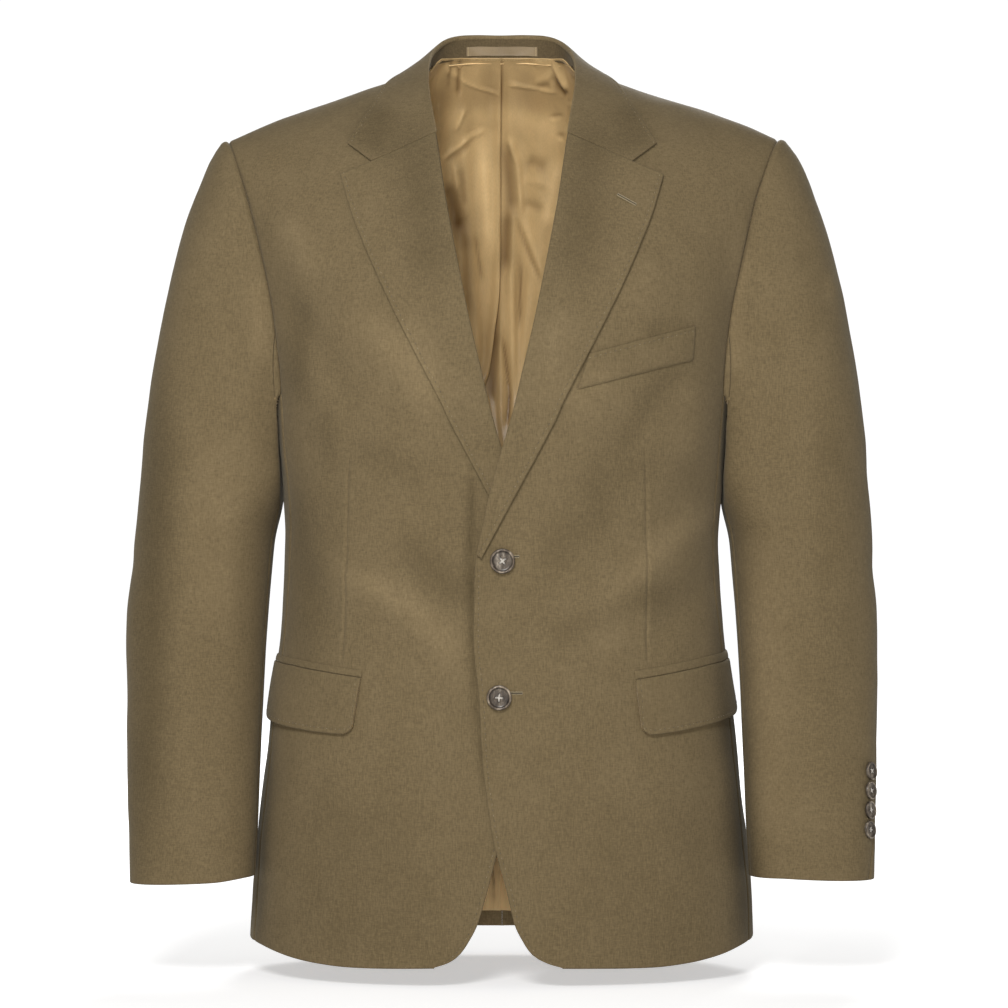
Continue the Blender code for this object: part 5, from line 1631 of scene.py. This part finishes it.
def lining_folds(side, x, level, edge):
    """Depth of the lining under the form: its hang, its large folds and the pleat."""
    free = ease(level * 3.0) * ease((1.97 - level) * 2.4)
    depth = LINING_IN + 4.0 * hill(x - 56.0, 16.0) * ease((level - 1.55) / 0.3)
    folds = sum(height * hill(x - at_x, wide) for at_x, wide, height in LINING_FOLDS)
    depth = depth + free * folds
    if side > 0:
        return depth + 1.6 * free * hill(x - 8.0, 5.0) - 2.0 * (1 - ease((x + edge - 1.0) / 6.0))
    return depth + free * (2.8 * hill(x - edge - 2.5, 4.0) + 1.2 * hill(x - edge, 9.0))


def lining_wrinkles(x, z):
    """Height of the lining's own creases and of the ripple between them, seen from the front."""
    swell = 0.5 + 0.5 * ease((-z - 40.0) / 160.0)
    ripple = 0.6 * np.sin(x / 5.7 + 1.6 * np.sin(z / 39.0))
    ripple = ripple + 0.4 * np.sin(x / 3.3 + 2.3 * np.sin(z / 57.0) + 1.0)
    return creases(x, z, LINING_CREASES) + swell * ripple * ease(np.abs(x) / 9.0)


def make_lining(side):
    w, level, x, edge = lining_grid(side)
    base = panel(w, level, True)
    skin = grid_normals(base, flip=True)
    z, seen = base[..., 2], side * x
    small = lining_wrinkles(seen, z)
    sunk = np.maximum(-relief(base, skin, side), 0.0)
    depth = lining_folds(side, x, level, edge) + small * LINING_DEEP
    depth = np.maximum(depth, LINING_CLEAR) + sunk
    points = base - skin * (depth + LINING)[..., None]
    points = points + reach_stand(points[-1]) * ease((level - 1.87) / 0.1)[..., None]
    normals = grid_normals(points)
    # painted light and shade on the satin: its table, the pleat's painted shade, lighter ridges and darker
    # troughs
    light = SATIN_LIGHT + PLEAT_SHADE if side > 0 else SATIN_LIGHT
    outer = shell("lining_" + side_name(side), side, points, normals, 0.0, thick=LINING,
                  turns=(0.9, 0.9, 0.9, 0.9),
                  materials=[satin, satin],
                  painted_shading=0.5 + creases(seen, z, light) + SATIN_TURN * small)
    return outer, normals, distances(points)


# ---- sewing -------------------------------------------------------------------------------------
def line_inside(piece, edge, inset):
    """Points and normals along a line inside one edge of a piece: 0 first column, 1 last, 2, 3 rows."""
    outer, normals, gaps = piece
    if edge > 1:
        outer, normals = np.swapaxes(outer, 0, 1), np.swapaxes(normals, 0, 1)
    gap = gaps[edge] if edge < 2 else gaps[edge].T
    index = np.argmin(np.abs(gap - inset), axis=1)
    rows = np.arange(len(outer))
    return outer[rows, index], normals[rows, index]


def resample(points, normals, pitch, keep=None):
    """Evenly spaced places along a line, with its direction there."""
    if keep is not None:
        points, normals = points[keep], normals[keep]
    smooth = points.copy()
    for _ in range(3):
        smooth[1:-1] = (smooth[:-2] + 2 * smooth[1:-1] + smooth[2:]) / 4
    step = np.linalg.norm(np.diff(smooth, axis=0), axis=1)
    at = np.concatenate([[0.0], np.cumsum(step)])
    want = np.arange(pitch / 2, at[-1], pitch)
    way = along_line(want + 0.5, at, smooth) - along_line(want - 0.5, at, smooth)
    return along_line(want, at, smooth), unit(way), unit(along_line(want, at, normals))


def stitch_form(length, wide, high, rings=5, around=6):
    """Points of one rounded stitch that lies along its first axis, its quads and its end triangles."""
    t = np.linspace(-1.0, 1.0, rings)
    a = np.linspace(0.0, 2 * math.pi, around, endpoint=False)
    fat = np.sqrt(np.maximum(1 - (0.97 * t) ** 2, 0.0))
    points = np.stack([
        np.repeat(t, around) * length / 2,
        (fat[:, None] * np.cos(a)).ravel() * wide / 2,
        (fat[:, None] * np.sin(a)).ravel() * high / 2,
    ], -1)
    index = np.arange(rings * around).reshape(rings, around)
    following = np.roll(index, -1, axis=1)
    quads = np.stack([index[:-1], following[:-1], following[1:], index[1:]], -1).reshape(-1, 4)
    caps = [(index[0, 0], index[0, k + 1], index[0, k]) for k in range(1, around - 1)]
    caps += [(index[-1, 0], index[-1, k], index[-1, k + 1]) for k in range(1, around - 1)]
    return points, quads, np.array(caps)


def stitches(name, lines, length, wide, high, material, bury=0.1):
    """Many small stitches as one mesh. Each line is places, directions, normals and a side."""
    local, quads, caps = stitch_form(length, wide, high)
    points, all_quads, all_caps = [], [], []
    start = 0
    for place, way, normal, side in lines:
        across = unit(np.cross(normal, way))
        up = unit(np.cross(way, across))
        axes = np.stack([way, across, up], 1)
        p = (place + up * (high / 2 - bury))[:, None] + np.einsum("pk,nkc->npc", local, axes)
        points.append(settle(mirror(p, side)).reshape(-1, 3))
        shift = start + np.arange(len(place))[:, None, None] * len(local)
        turn = -1 if side < 0 else 1
        all_quads += (quads + shift)[..., ::turn].reshape(-1, 4).tolist()
        all_caps += (caps + shift)[..., ::turn].reshape(-1, 3).tolist()
        start += len(place) * len(local)
    mesh_object(name, np.concatenate(points), all_quads + all_caps, [material])


def buttonhole(a, b, side, out):
    """Purl stitches round a slit between two places of a front, as lines of stitches, and the slit as a
    line for a dark strip of painted shadow.
    """
    count = 26
    f = np.linspace(0.0, 1.0, count)
    x, z = mix(a[0], b[0], f), mix(a[1], b[1], f)
    base, normal = front_skin(np.abs(x), z, side)
    base[:, 0] = x
    normal[:, 0] *= np.sign(x)
    base = base + normal * out
    way = unit(np.gradient(base, axis=0))
    across = unit(np.cross(normal, way))
    lines = []
    for turn in (-1.0, 1.0):
        lines.append((base + across * turn * 0.75, across, normal, 1))
    ends = np.stack([base[0] - way[0] * 0.3, base[-1] + way[-1] * 0.3])
    lines.append((ends, across[[0, -1]], normal[[0, -1]], 1))
    slit = [(base, way, normal, 1)]
    return lines, slit


# ---- buttons ------------------------------------------------------------------------------------
# radius and height as shares of the button's radius, and the painted light on the horn there: a highlight
# on the rim, shade in the groove and on the outer side
BUTTON_PROFILE = [
    (0.80, 0.00, 0.20),
    (0.93, 0.05, 0.20),
    (0.985, 0.13, 0.22),
    (1.00, 0.22, 0.25),
    (0.985, 0.30, 0.30),
    (0.95, 0.355, 0.55),
    (0.90, 0.385, 0.85),
    (0.85, 0.385, 0.80),
    (0.805, 0.35, 0.45),
    (0.775, 0.29, 0.18),
    (0.74, 0.255, 0.20),
    (0.69, 0.245, 0.38),
]
HOLE_AT = 0.20          # holes: distance from the centre along each axis, and radius
HOLE_R = 0.105
HOLE_DEEP = 0.17
HOLE_SHADE = 0.35
DISH = 0.235            # height of the dish between them
FRONT_BUTTON_TURNS = (0.12, -0.7)   # how far each front button is turned, in radians


def button_form(segments):
    """Grids for a four-hole button of radius 1: across, up, out, and the painted light and shade on the
    horn, with painted shade round the holes.
    """
    floor = [(r, DISH - 0.02 * (1 - r / 0.69), 0.5) for r in np.linspace(0.66, 0.02, 24)]
    r, out, painted_horn_light = np.array([(0.05, 0.0, 0.3)] + BUTTON_PROFILE + floor).T[:, :, None]
    in_dish = (out > 0.2) & (r < 0.67)
    a = np.linspace(0.0, 2 * math.pi, segments, endpoint=False)
    u, v = r * np.cos(a), r * np.sin(a)
    for hole_u in (-HOLE_AT, HOLE_AT):
        for hole_v in (-HOLE_AT, HOLE_AT):
            d = np.hypot(u - hole_u, v - hole_v)
            out = out - HOLE_DEEP * ease((HOLE_R - d) / 0.05) * in_dish
            painted_horn_light = painted_horn_light - HOLE_SHADE * ease((HOLE_R + 0.03 - d) / 0.07) * in_dish
    return u, v, out, painted_horn_light


def button_cross(seat, right, up, axis, radius):
    """The four threads of a button's cross, as lines of stitches."""
    lines = []
    for cross, raised in ((1.0, 0.03), (-1.0, 0.06)):
        way = unit(right + up * cross)
        beside = unit(np.cross(axis, way))
        for shift in (-0.034, 0.034):
            place = seat + radius * (beside * shift + axis * raised)
            lines.append((place[None], way[None], axis[None], 1))
    return lines


def make_button(name, centre, axis, radius, segments, turn):
    """A turned four-hole button. Returns the lines of its cross of thread."""
    axis = unit(np.array(axis, float))
    right = unit(np.cross(axis, np.array([0.0, 0.0, 1.0])))
    up = np.cross(right, axis)
    cos, sin = math.cos(turn), math.sin(turn)
    right, up = right * cos + up * sin, up * cos - right * sin
    u, v, out, painted_horn_light = button_form(segments)
    points = centre + radius * (u[..., None] * right + v[..., None] * up + out[..., None] * axis)
    index = np.arange(u.size).reshape(u.shape)
    following = np.roll(index, -1, axis=1)
    quads = np.stack([index[:-1], following[:-1], following[1:], index[1:]], -1).reshape(-1, 4)
    faces = quads.tolist() + [index[0, ::-1].tolist(), index[-1].tolist()]
    # the painted highlight and shade go on the mesh with its points
    obj = mesh_object("turned_" + name, points.reshape(-1, 3), faces, [horn], painted_horn_light.ravel())
    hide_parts(name)
    return button_cross(centre + axis * radius * DISH, right, up, axis, radius)


def back_of(node):
    """Middle of the rear face of a node that looks forward."""
    low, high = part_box(node)
    middle = (np.array(low) + np.array(high)) / 2 / M
    middle[1] = high[1] / M
    return middle


def make_front_buttons():
    threads = []
    for i, turn in enumerate(FRONT_BUTTON_TURNS):
        node = "front_button_%d" % (i + 1)
        threads += make_button(node, back_of(node), (0.0, -1.0, 0.0), BUTTON_R, 72, turn)
    stitches("button_threads", no_settle(threads), 7.2, 0.7, 0.8, grey_thread)


def cuff_seat(z, side):
    """Where a cuff button lies on its sleeve, and the direction in which it looks."""
    level = 1.0 + (z - SLEEVE_TOP_Z) / (SLEEVE_RINGS[-1][0] - SLEEVE_TOP_Z)
    angle = CUFF_BUTTON_ANGLE[side]
    around = sleeve(np.array([angle - 0.5, angle, angle + 0.5]), level)
    down = sleeve(angle, level + 0.004) - sleeve(angle, level - 0.004)
    normal = unit(np.cross(around[2] - around[0], -down))
    return settle(mirror(around[1] + normal * 0.5, side)), mirror(normal, side)


def make_cuff_buttons():
    threads = []
    for side in (1, -1):
        for i, z in enumerate(CUFF_BUTTON_Z):
            node = "cuff_button_%s_%d" % (side_name(side), i + 1)
            threads += make_button(node, *cuff_seat(z, side), CUFF_BUTTON_R, 48, 0.35 * i)
    stitches("cuff_threads", no_settle(threads), 5.0, 0.55, 0.55, grey_thread)


def no_settle(lines):
    """Places that are already where they belong, moved back by what settling will add."""
    out = []
    for place, way, normal, side in lines:
        shift = settle(place) - place
        out.append((place - shift, way, normal, side))
    return out


# ---- stage --------------------------------------------------------------------------------------
FLOOR_Z = -0.743
FLOOR_HALF = 9.0
FLOOR_REACH = (0.35, 1.4)   # the floor's glow changes between these distances from the jacket
FLOOR_GLOW = (0.50, 0.86)   # from this next to the jacket to this far away, which keeps it white
SKY = 0.22              # light from all round
BACKDROP = 1.05         # the white that the camera sees
CAMERA_PLACE = (0.0017, -3.4, -0.352)
LENS = 144.5
MIDDLE = (0.0, 0.0, -0.35)
# name, place, size and power of each light, which shines on the jacket's middle
LIGHTS = [
    ("key", (-0.42, -2.85, 1.30), 0.9, 62.0),
    ("fill", (0.0, -3.5, -0.40), 0.5, 31.0),
    ("rear", (0.5, 3.3, 1.5), 1.4, 70.0),
]


def floor_white():
    """Pale floor that glows for the camera alone."""
    n = Nodes("floor_white", (0.86, 0.86, 0.86), 0.9)
    away = n.add("ShaderNodeVectorMath", operation="DISTANCE")
    away.inputs[1].default_value = (0.0, 0.0, FLOOR_Z)
    n.link(n.place, away.inputs[0])
    glow = n.add("ShaderNodeMapRange")
    for name, value in zip(("From Min", "From Max", "To Min", "To Max"), FLOOR_REACH + FLOOR_GLOW):
        glow.inputs[name].default_value = value
    n.link(away.outputs["Value"], glow.inputs["Value"])
    seen = n.add("ShaderNodeLightPath").outputs["Is Camera Ray"]
    n.link(n.math("MULTIPLY", seen, glow.outputs["Result"]), n.shader.inputs["Emission Strength"])
    return n.finish(Emission_Color=(1.0, 1.0, 1.0, 1.0), Specular_IOR_Level=0.1)


def make_floor():
    mesh = bpy.data.meshes.new("floor")
    r = FLOOR_HALF
    corners = [(-r, -r, FLOOR_Z), (r, -r, FLOOR_Z), (r, r, FLOOR_Z), (-r, r, FLOOR_Z)]
    mesh.from_pydata(corners, [], [(0, 1, 2, 3)])
    mesh.materials.append(floor_white())
    place_object("floor", mesh)


def make_world():
    """White where the camera sees it, and dim as a light."""
    world = bpy.data.worlds.new("studio")
    bpy.context.scene.world = world
    world.use_nodes = True
    nodes, links = world.node_tree.nodes, world.node_tree.links
    seen, strength = nodes.new("ShaderNodeLightPath"), nodes.new("ShaderNodeMath")
    strength.operation = "MULTIPLY_ADD"
    strength.inputs[1].default_value = BACKDROP - SKY
    strength.inputs[2].default_value = SKY
    links.new(seen.outputs["Is Camera Ray"], strength.inputs[0])
    links.new(strength.outputs[0], nodes["Background"].inputs["Strength"])
    nodes["Background"].inputs["Color"].default_value = (1.0, 1.0, 1.0, 1.0)


def make_lights():
    for name, place, size, power in LIGHTS:
        light = bpy.data.lights.new(name, "AREA")
        light.shape = "DISK"
        light.size = size
        light.energy = power
        obj = place_object(name, light)
        obj.location = place
        way = np.array(MIDDLE) - np.array(place)
        tilt = math.atan2(math.hypot(way[0], way[1]), -way[2])
        obj.rotation_euler = (tilt, 0.0, math.atan2(way[1], way[0]) - math.pi / 2)
        obj.visible_glossy = name != "fill"     # it would glare in the buttons' dishes


def make_camera():
    camera = bpy.data.cameras.new("camera")
    camera.lens = LENS
    camera.sensor_width = 36.0
    camera.clip_end = 50.0
    obj = place_object("camera", camera)
    obj.location = CAMERA_PLACE
    obj.rotation_euler = (math.pi / 2, 0.0, 0.0)
    bpy.context.scene.camera = obj


# ---- the whole jacket ---------------------------------------------------------------------------
def edge_stitches(piece, edge, side, keep=None, inset=STITCH_IN, pitch=STITCH_PITCH):
    points, normals = line_inside(piece, edge, inset)
    if keep is not None:
        keep = keep(points)
    return (*resample(points, normals, pitch, keep), side)


def every_other(lines, start):
    return [(*(part[start::2] for part in line[:3]), line[3]) for line in lines]


def make_buttonholes():
    holes, slits = [], []
    for z, (first, last) in BUTTONHOLE_X.items():
        purl, slit = buttonhole((first, z + BUTTONHOLE_UP), (last, z + BUTTONHOLE_UP), 1, 0.15)
        holes += purl
        slits += slit
    purl, slit = buttonhole(*LAPEL_HOLE, 1, LAPEL_OUT + 0.1)
    stitches("buttonhole_stitches", holes + purl, 1.5, 0.85, 0.7, purl_thread)
    # the slits as dark strips of painted shadow
    stitches("buttonhole_slit_shading", slits + slit, 1.1, 1.0, 0.9, slit_shade_strip)


def make_jacket():
    picks, lining_edge = [], []
    for side in (1, -1):
        front = make_front(side)
        end = LAPEL_END[side] - 6.0
        picks.append(edge_stitches(front, 0, side, lambda p: (p[:, 2] < end) & (p[:, 2] > Z_HEM + 2.0)))
        make_side(side)
        make_back(side)
        make_sleeve(side)
        picks.append(edge_stitches(make_lapel(side), 1, side))
        flap = make_hip_pocket(side)
        picks += [edge_stitches(flap, edge, side) for edge in (0, 2)]
        lining_edge.append(edge_stitches(make_lining(side), 3, side, inset=1.6, pitch=2.4))
    picks.append(edge_stitches(make_welt(), 3, 1))
    picks.append(edge_stitches(make_collar(), 1, 1))
    make_stand()
    tape = make_tape()
    tape_ends = [edge_stitches(tape, edge, 1, inset=1.6, pitch=1.3) for edge in (0, 1)]
    stitches("pick_stitches", every_other(picks, 0), 1.7, 0.55, 0.45, pale_thread)
    stitches("pick_stitches_dark", every_other(picks, 1), 1.9, 0.6, 0.40, dark_thread)
    stitches("tape_stitches", tape_ends, 1.1, 0.45, 0.4, gold_thread)
    stitches("lining_stitches", lining_edge, 1.6, 0.4, 0.35, gold_thread)
    make_buttonholes()
    make_front_buttons()
    make_cuff_buttons()


make_jacket()
make_floor()
make_world()
make_lights()
make_camera()
bpy.context.scene.view_settings.view_transform = "Standard"
